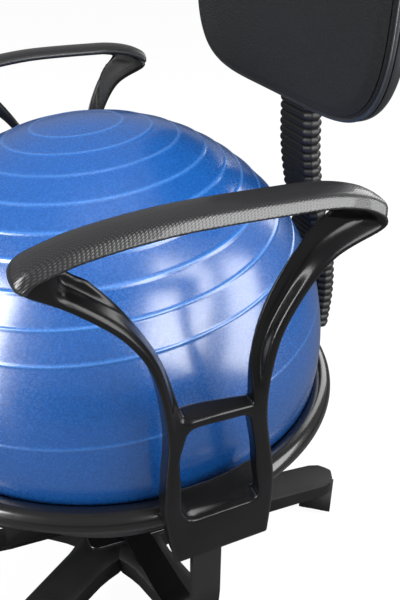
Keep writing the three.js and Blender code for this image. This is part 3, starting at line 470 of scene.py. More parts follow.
def ball():
    """A sphere about a tilted pole, which eases from one axis to the other as the polar angle goes
    from 20 to 55 degrees. Each ridge adds a low hump, rise * exp(-(s / w)^2), with s the arc
    length from the ridge's middle and w its width; the humps fade out just over the ring."""
    tip, least_step, sides = 0.002, 2e-4, 180
    centres = np.arccos(RIDGES[:, 0] / BALL_RADIUS)
    # thirteen circles over each ridge, and one every 2 degrees away from them
    fine = (np.linspace(-1, 1, 13) * 3.0 * RIDGE_WIDTH / BALL_RADIUS)[None] + centres[:, None]
    coarse = np.radians(np.arange(2, 179, 2.0))
    far = np.abs(coarse[:, None] - centres).min(1) > 3.5 * RIDGE_WIDTH / BALL_RADIUS
    polar = np.sort(np.concatenate([fine.ravel(), coarse[far]]))
    polar = polar[np.concatenate([[True], np.diff(polar) > least_step])]
    polar = np.concatenate([[tip], polar, [math.pi - tip]])
    arc = (polar[:, None] - centres) * BALL_RADIUS
    rise = (RIDGES[:, 1] * np.exp(-(arc / RIDGE_WIDTH) ** 2)).sum(1)
    pole = POLE_TOP + (POLE_LOW - POLE_TOP) * step_up(np.degrees(polar), 20, 55)[:, None]
    pole /= np.linalg.norm(pole, axis=1)[:, None]
    side = np.cross(pole, [0, 1.0, 0])
    side /= np.linalg.norm(side, axis=1)[:, None]
    third = np.cross(pole, side)
    turn = np.arange(sides) / sides * 2 * math.pi
    around = np.cos(turn)[None, :, None] * side[:, None] + np.sin(turn)[None, :, None] * third[:, None]
    way = np.cos(polar)[:, None, None] * pole[:, None] + np.sin(polar)[:, None, None] * around
    lift = rise[:, None] * np.clip((way[..., 2] + 0.12) / 0.04, 0, 1)
    reach = ball_radius(way[..., 2]) + lift
    points = way * reach[..., None]
    points[..., 2] = np.maximum(points[..., 2], -BALL_FLOOR)
    points[..., 2] += BALL_CENTRE
    points, faces = skin(points)
    obj = piece("exercise_ball", points, faces, PEARL, "ball", ("ball_shell",))
    crest_highlight = obj.data.attributes.new("ridge", "FLOAT", "POINT")
    # the ridge attribute holds the painted highlight along the crests, in proportion to each ridge's lift
    crest_highlight.data.foreach_set("value", (lift / RIDGES[:, 1].max() * CREST_HIGHLIGHT_SHARE).ravel())
    return obj


# ---------------------------------------------------------------- ring and dish
def ring():
    """A torus: centre circle of the ring's radius, round tube."""
    turn = np.linspace(0, 2 * math.pi, 40, endpoint=False)
    tube = RING_TUBE * np.stack([np.cos(turn), np.sin(turn)], 1)
    points, faces = revolved(np.array([RING_RADIUS, RING_LEVEL]) + tube, 240)
    return piece("support_ring_tube", points, faces, ENAMEL, "frame", ("support_ring",))


def bowl():
    """The dish: two arcs about the ball's centre, with a flat foot round the hole at its bottom and
    a rolled flange under the ring."""
    foot_outer, foot_inner, hole = 236.0, 232.5, 15.0

    def arc(radius, low, high):
        """Points of the circle between two depths under the ball's centre."""
        a = np.linspace(math.acos(low / radius), math.acos(high / radius), 30)
        return np.stack([radius * np.sin(a), BALL_CENTRE - radius * np.cos(a)], 1)

    outer = arc(BOWL_OUTER, foot_outer, BALL_CENTRE - RIM_BOTTOM)
    flange = np.array([
        [RING_RADIUS + 0.3, RIM_BOTTOM], [RING_RADIUS + 0.5, RIM_BOTTOM + 1.5],
        [RING_RADIUS + 0.3, RIM_TOP],
    ])
    inner = arc(BOWL_INNER, BALL_CENTRE - RIM_TOP, foot_inner)
    foot = np.array([[hole, BALL_CENTRE - foot_inner], [hole, BALL_CENTRE - foot_outer]])
    points, faces = revolved(np.concatenate([outer, flange, inner, foot]), 160)
    return piece("ball_dish", points, faces, BOWL, "frame", ("seat_bowl",))


# ---------------------------------------------------------------- armrests
# Outlines as shares of the armrest's length, from the front, and of its height, from the foot
ARM_FRONT = [
    (0.411, 0.001), (0.372, 0.169), (0.371, 0.282), (0.376, 0.447),
    (0.334, 0.63), (0.255, 0.743), (0.129, 0.833), (0.034, 0.88),
]
ARM_TOP = [
    (0.004, 0.897), (0.03, 0.927), (0.104, 0.95), (0.169, 0.964), (0.295, 0.981), (0.442, 0.992),
    (0.683, 0.997), (0.806, 0.996), (0.899, 0.983), (0.958, 0.961), (0.985, 0.937),
]
ARM_REAR = [
    (0.985, 0.937), (0.974, 0.911), (0.829, 0.852), (0.729, 0.724), (0.695, 0.607),
    (0.694, 0.455), (0.744, 0.231), (0.747, 0.026),
]
OPENING_FRONT = [
    (0.112, 0.926), (0.152, 0.899), (0.197, 0.872), (0.288, 0.78), (0.371, 0.656), (0.424, 0.5),
]
OPENING_REAR = [(0.637, 0.506), (0.633, 0.631), (0.662, 0.766), (0.749, 0.916), (0.82, 0.967)]
OPENING_TOP = [(0.82, 0.967), (0.683, 0.976), (0.442, 0.971), (0.293, 0.96)]
WINDOW = [
    (0.438, 0.473), (0.41, 0.381), (0.421, 0.285), (0.421, 0.206), (0.448, 0.157),
    (0.685, 0.173), (0.691, 0.203), (0.672, 0.277), (0.66, 0.359), (0.629, 0.478),
]


def arm_place(shares):
    """Shares of the armrest's length and height as y and z in millimetres."""
    shares = np.asarray(shares, float)
    return np.stack([ARM_LENGTH * shares[:, 0] - ARM_FORWARD, ARM_FOOT + ARM_HEIGHT * shares[:, 1]], 1)


def arm_loops():
    """Outer outline, opening and window as dense rows of y and z, with eased corners."""
    outer, opening = (
        np.concatenate([spline(arm_place(part), 10) for part in parts])
        for parts in ((ARM_FRONT, ARM_TOP, ARM_REAR), (OPENING_FRONT, OPENING_REAR, OPENING_TOP))
    )
    return outer, opening, rounded_corners(arm_place(WINDOW), 9, 6)


def signed(loop, places):
    """Signed distance from places to a closed outline: the least distance over its segments,
    negative where a ray along the first axis crosses the outline an odd number of times."""
    best = np.full(len(places), 1e9)
    inside = np.zeros(len(places), bool)
    for start, end in zip(loop, np.roll(loop, -1, 0)):
        run = end - start
        t = np.clip((places - start) @ run / max(run @ run, 1e-12), 0, 1)
        best = np.minimum(best, np.hypot(*(places - start - t[:, None] * run).T))
        straddle = (start[1] > places[:, 1]) != (end[1] > places[:, 1])
        cross = start[0] + (places[:, 1] - start[1]) * run[0] / (run[1] if run[1] else 1e-12)
        inside ^= straddle & (places[:, 0] < cross)
    return np.where(inside, -best, best)


def step_up(value, low, high):
    """Smooth step: 3 t^2 - 2 t^3 between low and high."""
    t = np.clip((value - low) / (high - low), 0, 1)
    return t * t * (3 - 2 * t)


def both(a, b, blend):
    """Overlap of two distance fields, the joint eased over a width: max(a, b) + h^2 w / 4, with
    h = max(w - |a - b|, 0) / w."""
    return np.maximum(a, b) + np.maximum(blend - np.abs(a - b), 0) ** 2 / blend / 4


def either(a, b, blend):
    """Union of two distance fields, eased in the same way: min(a, b) - h^2 w / 4."""
    return -both(-a, -b, blend)


def rounded(a, b, radius):
    """Overlap of two fields with the edge between them turned to the radius: the distance to a
    corner point radius inside both, less the radius."""
    a, b = a + radius, b + radius
    return np.minimum(np.maximum(a, b), 0) + np.hypot(np.maximum(a, 0), np.maximum(b, 0)) - radius


def samples(low, high, step):
    """Grid of places from low to high: the three axes, each shaped to spread over the grid."""
    axes = [np.arange(l, h + step, step) for l, h in zip(low, high)]
    return axes, np.meshgrid(*axes, indexing="ij", sparse=True)


def zero_surface(field, axes):
    """Surface where a sampled field is zero: in each cell that it crosses, a point at the mean of
    the crossings of its twelve edges (linear along each edge); round each crossed edge, a quad."""
    cells = tuple(n - 1 for n in field.shape)
    count = np.zeros(cells)
    total = np.zeros(cells + (3,))
    index = np.meshgrid(*[np.arange(n) for n in cells], indexing="ij", sparse=True)
    negative = field < 0
    crossings = []
    for axis in range(3):
        u, v = [k for k in range(3) if k != axis]
        head = [slice(None)] * 3
        tail = [slice(None)] * 3
        head[axis], tail[axis] = slice(None, -1), slice(1, None)
        first, second = field[tuple(head)], field[tuple(tail)]
        cut = negative[tuple(head)] != negative[tuple(tail)]
        share = np.where(cut, first / np.where(cut, first - second, 1), 0)
        crossings.append(cut)
        for du in (0, 1):
            for dv in (0, 1):
                part = [slice(None)] * 3
                part[u] = slice(du, du + cells[u])
                part[v] = slice(dv, dv + cells[v])
                here = cut[tuple(part)]
                count += here
                total[..., axis] += here * index[axis] + share[tuple(part)]
                total[..., u] += here * (index[u] + du)
                total[..., v] += here * (index[v] + dv)
    used = count > 0
    number = np.cumsum(used.ravel()).reshape(cells) - 1
    points = total[used] / count[used][:, None]
    points = np.stack([axes[k][0] + points[:, k] * (axes[k][1] - axes[k][0]) for k in range(3)], 1)
    faces = []
    for axis, cut in enumerate(crossings):
        u, v = [k for k in range(3) if k != axis]
        at = np.argwhere(cut)
        ring = []
        for du, dv in ((1, 1), (0, 1), (0, 0), (1, 0)):
            cell = at.copy()
            cell[:, u] -= du
            cell[:, v] -= dv
            ring.append(number[tuple(cell.T)])
        faces.append(np.stack(ring, 1))
    return points, np.concatenate(faces).tolist()


def lean(points):
    """Leans the armrest out: x grows by the lean for each millimetre above the ring."""
    points[:, 0] += ARM_LEAN * (points[:, 2] - RING_LEVEL)
    return points


def arm_surface():
    """The armrest as a distance field, upright, then leaned. Its plate is the outline less the
    opening and the window, between the outer face and an inner face that comes outward to the
    rear, its edges rounded. A pocket sinks the outer face beside the rim of the upper struts. A
    block round the ring is eased into it, then the ring's tube and the slope under it are cut
    away. Lengths are millimetres; the last number of each both() is the width of its easing."""
    cell = 1.4
    low_corner, high_corner = (242.4, -131.0, 317.0), (291.5, 153.0, 688.0)
    rim_edge, window_edge = 6.0, 3.2
    thinning, thinned_at = 11.5, 76.3
    axes, (x, y, z) = samples(low_corner, high_corner, cell)
    flat = np.stack(np.meshgrid(axes[1], axes[2], indexing="ij"), 2).reshape(-1, 2)
    rim, hole, light = (signed(loop, flat).reshape(1, len(axes[1]), -1) for loop in arm_loops())
    thin = thinning * np.clip(y / thinned_at, 0, 1)
    outside = x - (ARM_INNER + ARM_THICKNESS)
    slab = np.maximum(outside, ARM_INNER + thin - x)
    # the opening's edge is rounder up the front strut
    crown = 4.5 + 4.0 * step_up(z, 470, 520) * step_up(-y, -20, 10)
    body = both(rounded(rim, slab, rim_edge), rounded(-hole, slab, crown), 2.0)
    body = both(body, rounded(-light, slab, window_edge), 2.0)

    # the pocket differs between the front strut (ahead = 1) and the rear one (ahead = 0); it
    # starts outside the face and sinks in as it goes up, and end opens it at the rear corner
    ahead = step_up(-y, 0, 12)
    end = step_up(z, 600, 650)
    mixed = lambda front, rear: front * ahead + rear * (1 - ahead)
    start_outside, nose_end = 12.0, -101.0
    sink = mixed(31.0 * step_up(z, 420, 590), 24.0 * step_up(z, 470, 560)) - start_outside
    slant = mixed(0.3, 0.2 + 0.8 * end)
    wall = (rim + mixed(7.0, 8.5 - 5.0 * end) - slant * outside) / np.hypot(1, slant)
    pocket = both(both(wall, -outside - sink, 3.0), nose_end - y, 8.0)
    body = both(body, -pocket, mixed(8.0, 3.0))

    # the block that holds the ring: how far in and out it reaches, its middle and half length in
    # y, and how far it goes under the ring's level
    block_inner, block_outer, block_middle, block_half, block_under = 259.0, 281.0, 31.0, 44.0, 29
    real = x + ARM_LEAN * (z - RING_LEVEL)
    reach = np.hypot(real, y)
    top = RING_LEVEL + 28.5 - 0.45 * (x - ARM_INNER)
    block = both(block_inner - reach, x - block_outer, 2.0)
    block = both(block, np.abs(y - block_middle) - block_half, 5.0)
    block = both(block, np.maximum(z - top, RING_LEVEL - block_under - z), 4.0)
    body = either(body, block, 5.0)
    tube = RING_TUBE + CONTACT_GAP - np.hypot(reach - RING_RADIUS, z - RING_LEVEL)
    body = both(body, tube, 1.5)
    # under the tube the inner face slopes out by 0.733 for each millimetre down; 0.8 turns the
    # height over that slope into a distance from it
    slope = RING_RADIUS + 0.733 * (RING_LEVEL - RING_TUBE - z) - real
    body = np.where(z < RING_LEVEL - RING_TUBE, both(body, slope * 0.8, 1.5), body)
    points, faces = zero_surface(body, axes)
    return lean(points), faces


# Pad section: offset from the armrest's middle and height over its top edge
PAD_SECTION = np.array([
    (-13.7, -4.0), (-13.7, -3.5), (-9.5, 0.4), (9.5, 0.4), (13.9, -3.6), (13.9, -4.6), (16.4, -4.6),
    (17.0, -3.4), (13.2, 2.6), (11.6, 4.2), (8.8, 5.4), (2.0, 6.4), (-5.0, 6.8), (-12.0, 6.4),
    (-18.0, 5.0), (-22.2, 2.2), (-23.6, -1.0), (-22.6, -4.0), (-20.0, -5.0),
])


def pad_surface():
    """The pad as a distance field: its section's signed distance, read at the offset from the
    middle and the signed distance from the armrest's top edge, which it follows round the nose.
    Two slanting planes end it under the nose and at the rear."""
    cell, swelling = 1.25, 0.2
    line = spline(arm_place([(0.034, 0.88), (0.008, 0.887)] + ARM_TOP), 10)
    axes, (x, y, z) = samples((247.0, -141.0, 628.0), (296.0, 153.0, 694.0), cell)
    flat = np.stack(np.meshgrid(axes[1], axes[2], indexing="ij"), 2).reshape(-1, 2)
    side = np.sign(signed(arm_loops()[0], flat))
    near = np.full(len(flat), 1e9)
    for start, end in zip(line[:-1], line[1:]):
        run = end - start
        t = np.clip((flat - start) @ run / (run @ run), 0, 1)
        near = np.minimum(near, np.hypot(*(flat - start - t[:, None] * run).T))
    height = side * near
    offset = axes[0] - (ARM_INNER + ARM_THICKNESS / 2)
    across, over = np.meshgrid(offset, height, indexing="ij")
    field = signed(PAD_SECTION, np.stack([across.ravel(), over.ravel()], 1)) - swelling
    field = field.reshape([len(axis) for axis in axes])
    nose, lip = arm_place([(0.034, 0.88), (0.129, 0.833)])
    under = np.array([nose[1] - lip[1], lip[0] - nose[0]]) / np.linalg.norm(nose - lip)
    field = both(field, -((y - nose[0]) * under[0] + (z - nose[1]) * under[1]) - 0.4, 9.0)
    turn = arm_place([(0.958, 0.961)])[0]
    field = both(field, (y - turn[0]) * 0.95 - (z - turn[1]) * 0.31 - 5.0, 6.0)
    points, faces = zero_surface(field, axes)
    return lean(points), faces


def armrests():
    """Both armrests and their pads: the right ones are the left ones with x turned about. Two light
    smoothing passes take the sampling's steps out of the faces."""
    arm, pad = arm_surface(), pad_surface()
    for side, across in (("left", 1), ("right", -1)):
        for (points, faces), name, finish, slot, node in (
            (arm, "armrest_", SATIN, "arm_plastic", "arm_frame_"),
            (pad, "armrest_pad_", KNURL, "pad_rubber", "arm_pad_"),
        ):
            place = points * (across, 1, 1)
            obj = piece(name + side, place, faces, finish, "frame", (node + side,), sharp=180)
            soften = obj.modifiers.new("soften", "SMOOTH")
            soften.factor = 0.5
            soften.iterations = 2


# ---------------------------------------------------------------- back bar and sleeve
# Bends of the bar: share of its reach in y, and of its height from the foot to the bracket
BAR_SHARES = np.array([
    (0, 0), (0.477, 0.065), (0.8, 0.125), (0.93, 0.21), (1, 0.3), (0.895, 0.398),
    (0.547, 0.501), (0.129, 0.607), (-0.22, 0.742), (-0.33, 0.87), (-0.359, 1),
])


def bar_line():
    """The back bar's middle line as y and z, from its foot to the bracket's top."""
    y = BAR_FOOT_Y + (BAR_REACH_Y - BAR_FOOT_Y) * BAR_SHARES[:, 0]
    z = BAR_FOOT_TOP + (BRACKET_BOTTOM - BAR_FOOT_TOP) * BAR_SHARES[:, 1]
    bend = spline(np.stack([y, z], 1), 24)
    foot = np.array([[BAR_FOOT_Y, BAR_FOOT_TOP - 70]])
    top = np.array([[bend[-1, 0], BRACKET_TOP]])
    return np.concatenate([foot, bend, top])


def walk(line, places):
    """Points and unit tangents at the given lengths along a row of points, and its whole length.
    A tangent is the chord from 2 mm before its place to 2 mm after it."""
    length = np.concatenate([[0], np.cumsum(np.linalg.norm(np.diff(line, axis=0), axis=1))])
    at = lambda s: np.stack([np.interp(s, length, line[:, k]) for k in (0, 1)], 1)
    ahead = at(np.clip(places + 2, 0, length[-1])) - at(np.clip(places - 2, 0, length[-1]))
    return at(places), ahead / np.linalg.norm(ahead, axis=1)[:, None], length[-1]


def squircle(count, power):
    """Unit outline |x|^p + |y|^p = 1 as x and y."""
    turn = np.arange(count) / count * 2 * math.pi
    bend = lambda v: np.sign(v) * np.abs(v) ** (2 / power)
    return np.stack([bend(np.cos(turn)), bend(np.sin(turn))], 1)


def chamfered(across, over, steps):
    """Unit rectangle with its corners cut over the given shares of its half sides and eased."""
    corners = []
    for sx, sy in ((1, 1), (-1, 1), (-1, -1), (1, -1)):
        cut = [(sx, sy * (1 - over)), (sx * (1 - across), sy)]
        corners += cut if sx == sy else cut[::-1]
    return rounded_corners(np.array(corners), 0.12, steps)


def carried(line_points, tangents, halves, outline):
    """An outline carried along a line in the plane x = 0: its first axis is X, its second the
    line's normal; halves gives its half width and half depth at each place."""
    x = halves[:, :1] * outline[None, :, 0]
    off = halves[:, 1:] * outline[None, :, 1]
    y = line_points[:, :1] + tangents[:, 1:] * off
    z = line_points[:, 1:] - tangents[:, :1] * off
    return np.stack([x, y, z], 2)


def sleeve():
    """Ribbed sleeve carried along the bar's middle line. The ribs stand about 9.2 mm apart, a whole
    number of them; between two crests the surface draws in by rib * (1 - |sin(pi t)|^0.55), with
    t the share of the way from one fold to the next."""
    pitch, half_width, half_depth, rib = 9.15, 36.0, 12.0, 2.6
    bore_width, bore_depth, corner = 30.0, 5.0, 7.5
    on_bracket, under_bracket, over_ring = 100, 27, 2.5
    fineness, rib_steps = 4000, 12
    line = bar_line()
    total = walk(line, np.array([0.0]))[2]
    top = total - on_bracket - under_bracket
    lengths = np.linspace(0, total, fineness)
    levels = walk(line, lengths)[0][:, 1]
    first = lengths[levels > RING_LEVEL + RING_TUBE + over_ring][0]
    ribs = round((top - first) / pitch)
    pitch = (top - first) / ribs
    phase = np.arange(ribs * rib_steps + 1) / rib_steps
    at, tangent, _ = walk(line, top - phase[::-1] * pitch)
    inset = rib * (1 - np.abs(np.sin(math.pi * phase)) ** 0.55)
    halves = np.stack([half_width - inset, half_depth - inset], 1)
    outline = chamfered(corner / half_width, corner / half_depth, 8)
    outer = carried(at, tangent, halves, outline)
    bore_halves = np.tile([bore_width, bore_depth], (ribs + 1, 1))
    bore = carried(at[::rib_steps], tangent[::rib_steps], bore_halves, outline)[::-1]
    rings = np.concatenate([outer, bore])
    points, faces = rings.reshape(-1, 3), grid_faces(len(rings), len(outline), close_rows=True)
    return piece("ribbed_sleeve", points, faces, RUBBER, "frame", ("back_bar_bellows",))


# ---------------------------------------------------------------- backrest
BACK_HALF_WIDTH = 221.0
BACK_HALF_HEIGHT = 157.0
BACK_OVER_BALL = 9
BACK_LEVEL = BALL_CENTRE + BALL_RADIUS + BACK_OVER_BALL + BACK_HALF_HEIGHT
BACK_BEND = 10.0
BAR_TOP_Y = BAR_FOOT_Y + (BAR_REACH_Y - BAR_FOOT_Y) * BAR_SHARES[-1, 0]
# The cover's rearmost plane: in front of the bar, its sliding gap, and the bracket's wall and flange
BACK_PLANE = BAR_TOP_Y - BAR_HALF - SLIDE_GAP - BRACKET_WALL - BRACKET_FLANGE - CONTACT_GAP


def back_ring(inset, share, depth, sides=144):
    """Superellipse outline of power 4.5, shrunk by the inset and the share. Its sides bow forward
    as x squared, and depth moves it forward."""
    outline = squircle(sides, 4.5)
    x = (BACK_HALF_WIDTH - inset) * share * outline[:, 0]
    z = BACK_LEVEL + (BACK_HALF_HEIGHT - inset) * share * outline[:, 1]
    y = BACK_PLANE - BACK_BEND * (x / BACK_HALF_WIDTH) ** 2 - depth
    return np.stack([x, y, z], 1)


def cushion():
    """Crowned pad. At the share s of the way out from the middle its front stands 5 mm over its
    edge and 12 * (1 - s^2) more, easing down near the edge. The side rounds over and draws in to
    the piping, then the back closes it. Its weave is left to the finish."""
    back, edge, inset, crown = 11.6, 20.6, 3, 12
    shares = np.concatenate([[0.01], np.linspace(0.06, 0.9, 22), np.linspace(0.92, 0.985, 8)])
    front = edge + 5 + crown * (1 - shares ** 2) - 4.5 * step_up(shares, 0.93, 1.0)
    rings = [back_ring(inset, share, depth) for share, depth in zip(shares, front)]
    for t in np.linspace(0, 1, 10):
        over = t * math.pi / 2
        depth = edge + 0.5 + 5.0 * (math.cos(over) - 1)
        rings.append(back_ring(inset + 5.5 * (1 - math.sin(over)), 1, depth))
    for t in np.linspace(0.15, 1, 5):
        rings.append(back_ring(inset + 3.2 * t, 1, edge - 4.5 - 4.3 * t))
    rings += [back_ring(8, share, back) for share in (1, 0.8, 0.4, 0.02)]
    points, faces = skin(np.array(rings))
    pad = piece("backrest_pad", points, faces, CLOTH, "backrest", ("backrest_cushion",))
    return pad


def piping():
    """A round cord laid along the cushion's edge where it meets the cover: circles square to the
    edge's run, each about a point of it."""
    radius = 2.4
    centre = back_ring(1.9, 1, 16.8, 260)
    ahead = np.roll(centre, -1, 0) - np.roll(centre, 1, 0)
    ahead /= np.linalg.norm(ahead, axis=1)[:, None]
    forward = np.array([0, 1.0, 0])
    out = np.cross(ahead, forward)
    out /= np.linalg.norm(out, axis=1)[:, None]
    turn = np.linspace(0, 2 * math.pi, 12, endpoint=False)[None, :, None]
    rings = centre[:, None] + radius * (np.cos(turn) * out[:, None] + np.sin(turn) * forward)
    points, faces = rings.reshape(-1, 3), grid_faces(*rings.shape[:2], close_rows=True)
    return piece("backrest_piping", points, faces, COVER, "backrest")


def cover():
    """Rear cover: a dish whose back turns forward through a quarter round, outside and inside, to
    a rounded rim."""
    wall, outer_corner, inner_corner = 3, 10, 8
    turn = np.linspace(0, math.pi / 2, 10)
    flat = (0.02, 0.3, 0.6, 0.85, 0.92)

    def quarter(start, radius):
        """Outlines through a quarter round, from the back plane's edge out to the side."""
        return [
            back_ring(start + radius * (1 - math.sin(t)), 1, start + radius * (1 - math.cos(t)))
            for t in turn
        ]

    rim = [(0, 12.5), (0.5, 13.6), (1.5, 14.0), (2.5, 13.6), (wall, 12.5)]
    outside = [back_ring(0, share, 0) for share in flat] + quarter(0, outer_corner)
    inside = quarter(wall, inner_corner)[::-1] + [back_ring(0, share, wall) for share in flat[::-1]]
    points, faces = skin(np.array(outside + [back_ring(inset, 1, depth) for inset, depth in rim] + inside))
    return piece("backrest_cover", points, faces, COVER, "backrest", ("backrest_shell",))


def knob():
    """Six-lobed clamp knob: radius 22 + 2 cos 6a, edges rounded, a dished face, with its screw."""
    turn = np.arange(96) / 96 * 2 * math.pi
    lobes = 22 + 2 * np.cos(6 * turn)
    start = BAR_TOP_Y + BAR_HALF + CLAMP_GAP + BRACKET_WALL + SLIDE_GAP

    def outline(radius, y):
        """The knob's own round at a radius, which may change with the angle, and a place in y."""
        return np.stack([radius * np.cos(turn), 0 * turn + y, radius * np.sin(turn) + KNOB_LEVEL], 1)

    rows = (
        (0.02, 0), (0.86, 0), (0.97, 0.8), (1, 2.5), (1, 11.5), (0.96, 13.2), (0.86, 14), (0.5, 14),
        (0.42, 12.5), (0.02, 12.5),
    )
    grip = [outline(lobes * share, start + depth) for share, depth in rows]
    screw = [outline(radius, start + depth) for radius, depth in ((0.1, -6.0), (4, -6.0), (4, 1))]
    points, faces = joined([skin(np.array(grip)), skin(np.array(screw))])
    return piece("height_knob_grip", points, faces, COVER, "knob", ("height_knob",))


# ---------------------------------------------------------------- casters
AXLE_LEVEL = 24.52
TRAIL = 16
STEM_CIRCLE = 318
HEADING = math.radians(145)


def caster_place(points, number):
    """Turns caster points (X the trail, Y the axle) to the heading and moves them to the leg's stem."""
    azimuth = math.radians(90 + 72 * (number - 1))
    c, s = math.cos(HEADING), math.sin(HEADING)
    points = np.asarray(points, float)
    x = c * points[:, 0] - s * points[:, 1] + STEM_CIRCLE * math.cos(azimuth)
    y = s * points[:, 0] + c * points[:, 1] + STEM_CIRCLE * math.sin(azimuth)
    return np.stack([x, y, points[:, 2]], 1)


def along_axle(points):
    """Revolved points about Z laid along the axle: (x, y, z) to (x + trail, z, y + axle level)."""
    return np.stack([points[:, 0] + TRAIL, points[:, 2], points[:, 1] + AXLE_LEVEL], 1)


def wheel_shape(side):
    """Wheel profile: rounded tread with a shallow groove, dished face with a hub boss."""
    profile = rounded_corners([
        (4.4, 0), (22.5, 0), (24.5, 2), (24.5, 7), (24.1, 7.6), (24.1, 8.4), (24.5, 9), (24.5, 14),
        (22.5, 16), (19, 16), (17.5, 13.8), (9.5, 13.4), (8.2, 15), (6.2, 15.2), (4.4, 14.6),
    ], 0.8, 3)
    points, faces = revolved(profile, 72)
    points = along_axle(points)
    web_half_and_gap = 7.4
    points[:, 1] = side * (points[:, 1] + web_half_and_gap)
    return points, faces


def hood_shape():
    """Cover over both wheels: an arc of wall and a middle web, each a section carried round the
    axle from lip to lip, and the stem's boss."""
    half, web_half, lip = 24.4, 7, 17
    angle = np.linspace(math.radians(-lip), math.radians(180 + lip), 60)[:, None]

    def swept(section):
        """A section, as radius and place along the axle, carried round the axle."""
        radius, along = section[None, :, 0], section[None, :, 1]
        return skin(np.stack([
            radius * np.cos(angle) + TRAIL, along + 0 * angle, radius * np.sin(angle) + AXLE_LEVEL,
        ], 2))

    wall = rounded_corners([(27.5, -half), (27.5, half), (25.9, half), (25.9, -half)], 0.9, 3)
    web_corners = [(0.3, -web_half), (26.3, -web_half), (26.3, web_half), (0.3, web_half)]
    web = rounded_corners(web_corners, 0.5, 2, closed=False)
    boss = revolved([(6, 28), (9, 28), (9, 51), (8, 52), (6, 52)], 32)
    return joined([swept(wall), swept(web), boss])


def casters():
    """Five casters, each the same hood and wheels turned and moved to its leg's end."""
    for number in range(1, 6):
        body = "caster_%d" % number
        points, faces = hood_shape()
        place = caster_place(points, number)
        piece(body + "_cover", place, faces, NYLON, body, (body + "_hood",))
        for side, word in ((1, "inner"), (-1, "outer")):
            points, faces = wheel_shape(side)
            piece(
                "%s_%s_wheel" % (body, word), caster_place(points, number), faces, TREAD,
                "%s_%s" % (body, word), ("%s_wheel_%s" % (body, word),),
            )


# ---------------------------------------------------------------- assembly
ball()
ring()
bowl()
armrests()
sleeve()
cushion()
piping()
cover()
knob()
casters()
# These keep their CAD shape with rounded edges, and the pieces not named here keep it as it is
rounded_copy("star_base", 3.0, NYLON, "frame", 4, "star_base_moulding")
rounded_copy("hub_plate", 1.2, ENAMEL, "frame")
rounded_copy("backrest_bracket", 1.5, ENAMEL, "backrest")
rounded_copy("back_bar", 1.0, ENAMEL, "frame", 2)
for place in ("right", "left", "front", "rear"):
    rounded_copy("support_bar_" + place, 1.0, ENAMEL, "frame", 2)

SLOT_FINISH = {
    "zinc_steel": ZINC, "gloss_paint": ENAMEL, "panel_wood": BOARD, "plug_vinyl": PLUG,
    "shell_plastic": COVER, "arm_plastic": SATIN, "pad_rubber": KNURL, "sleeve_rubber": RUBBER,
    "ball_vinyl": PEARL, "bowl_plastic": BOWL, "base_plastic": NYLON, "hood_plastic": NYLON,
    "wheel_plastic": TREAD, "back_fabric": CLOTH,
}
for part in frame["record"]["subparts"]:
    node = frame["nodes"][part["node"]]
    node.data.materials.clear()
    node.data.materials.append(SLOT_FINISH[part["material_slot"]])


# ---------------------------------------------------------------- floor, lights and camera
def floor():
    """A wide pale floor: the camera sees it near white with a soft shadow, as a mix of glow and
    matte; every other ray meets a dark matte, so that little light comes back up from it."""
    reach, glow_strength, glow_share, dark_tone, added_tone = 30.0, 1.1, 0.85, 0.08, 0.42
    mesh = bpy.data.meshes.new("floor")
    corners = [(-reach, -reach, 0), (reach, -reach, 0), (reach, reach, 0), (-reach, reach, 0)]
    mesh.from_pydata(corners, [], [(0, 1, 2, 3)])
    obj = bpy.data.objects.new("floor", mesh)
    bpy.context.scene.collection.objects.link(obj)
    paint = bpy.data.materials.new("floor_paint")
    paint.use_nodes = True
    tree = paint.node_tree
    tree.nodes.clear()
    seen = add_node(tree, "ShaderNodeLightPath").outputs["Is Camera Ray"]
    terms = {0: seen, 1: added_tone, 2: dark_tone}
    tone = add_node(tree, "ShaderNodeMath", terms, operation="MULTIPLY_ADD").outputs["Value"]
    share = add_node(tree, "ShaderNodeMath", {0: seen, 1: glow_share}, operation="MULTIPLY")
    matte = add_node(tree, "ShaderNodeBsdfDiffuse", {"Color": tone})
    glow = add_node(tree, "ShaderNodeEmission", Strength=glow_strength)
    ends = {0: share.outputs["Value"], 1: matte.outputs["BSDF"], 2: glow.outputs["Emission"]}
    mix = add_node(tree, "ShaderNodeMixShader", ends)
    add_node(tree, "ShaderNodeOutputMaterial", {"Surface": mix.outputs["Shader"]})
    mesh.materials.append(paint)


def soft_light(name, place, target, width, height, roll, power, mirrored):
    """A rectangular soft box at a place, facing a target, rolled about its aim in degrees. One
    that is not mirrored lights surfaces without a highlight of its own."""
    lamp = bpy.data.lights.new(name, "AREA")
    lamp.shape = "RECTANGLE"
    lamp.size, lamp.size_y = width, height
    lamp.energy = power
    obj = bpy.data.objects.new(name, lamp)
    obj.location = place
    obj.visible_glossy = mirrored
    aim = Vector(target) - Vector(place)
    turn = aim.to_track_quat("-Z", "Y").to_matrix() @ Matrix.Rotation(math.radians(roll), 3, "Z")
    obj.rotation_euler = turn.to_euler()
    bpy.context.scene.collection.objects.link(obj)


# name, azimuth from +X towards +Y, height angle, distance, width, height in metres, roll, watts,
# whether it shows in reflections
LIGHTS = (
    ("window_left", 25, 29, 2.2, 1.15, 1.85, -35, 46, True),
    ("window_right", 58, 13, 2.2, 0.75, 1.8, -35, 24, True),
    ("side_window", -76, 14, 2.2, 0.9, 2.0, 0, 72, True),
    ("overhead", 6, 75, 2.4, 1.5, 1.5, 0, 95, False),
    ("rear_strip", 120, 25, 2.6, 1.0, 1.6, 0, 14, True),
)


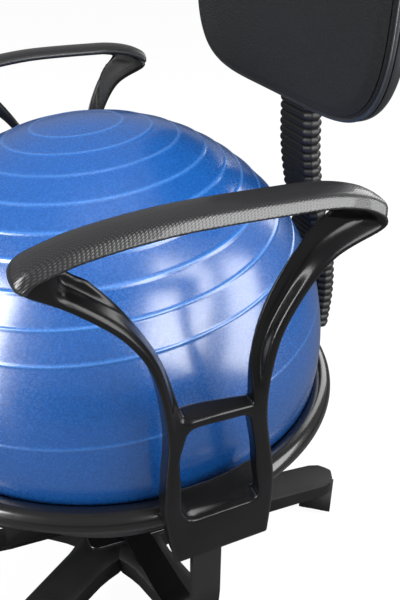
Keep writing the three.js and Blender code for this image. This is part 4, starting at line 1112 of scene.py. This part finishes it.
def world_and_lights():
    """A plain white surround and the soft boxes. The camera and clear parts see the surround at
    full strength; it lights surfaces at half and shows in reflections at a quarter."""
    lighting, mirror_loss = 0.5, -0.25
    world = bpy.data.worlds.new("studio")
    bpy.context.scene.world = world
    world.use_nodes = True
    tree = world.node_tree
    tree.nodes.clear()
    path = add_node(tree, "ShaderNodeLightPath").outputs
    straight = {0: path["Is Camera Ray"], 1: path["Is Transmission Ray"]}
    seen = add_node(tree, "ShaderNodeMath", straight, operation="MAXIMUM").outputs["Value"]
    terms = {0: path["Is Glossy Ray"], 1: mirror_loss, 2: lighting}
    soft = add_node(tree, "ShaderNodeMath", terms, operation="MULTIPLY_ADD").outputs["Value"]
    white = (1, 1, 1, 1)
    dim = add_node(tree, "ShaderNodeBackground", {"Strength": soft}, Color=white)
    bright = add_node(tree, "ShaderNodeBackground", Color=white, Strength=1.0)
    ends = {0: seen, 1: dim.outputs["Background"], 2: bright.outputs["Background"]}
    mix = add_node(tree, "ShaderNodeMixShader", ends)
    add_node(tree, "ShaderNodeOutputWorld", {"Surface": mix.outputs["Shader"]})
    ball_middle = Vector(AXIS) + Vector((0, 0, BALL_CENTRE * MM))
    for name, azimuth, height, distance, width, tall, roll, power, mirrored in LIGHTS:
        a, e = math.radians(azimuth), math.radians(height)
        way = Vector((math.cos(a) * math.cos(e), math.sin(a) * math.cos(e), math.sin(e)))
        soft_light(name, ball_middle + way * distance, ball_middle, width, tall, roll, power, mirrored)


def camera():
    """The photograph's view, through a 43 mm lens on a 36 mm frame, from over the near armrest."""
    place = np.array([0.7212, -0.1619, 0.8670]) + AXIS
    right, up = (0.3566, 0.9342, 0.0076), (-0.4599, 0.1684, 0.8719)
    ahead = (-0.8133, 0.3144, -0.4897)
    data = bpy.data.cameras.new("view")
    data.lens = 42.99
    data.sensor_width = 36
    data.sensor_fit = "AUTO"
    obj = bpy.data.objects.new("view", data)
    turn = Matrix([right, up, [-v for v in ahead]]).transposed()
    obj.matrix_world = Matrix.Translation(Vector(place)) @ turn.to_4x4()
    bpy.context.scene.collection.objects.link(obj)
    bpy.context.scene.camera = obj


floor()
world_and_lights()
camera()
bpy.context.scene.view_settings.view_transform = "Standard"
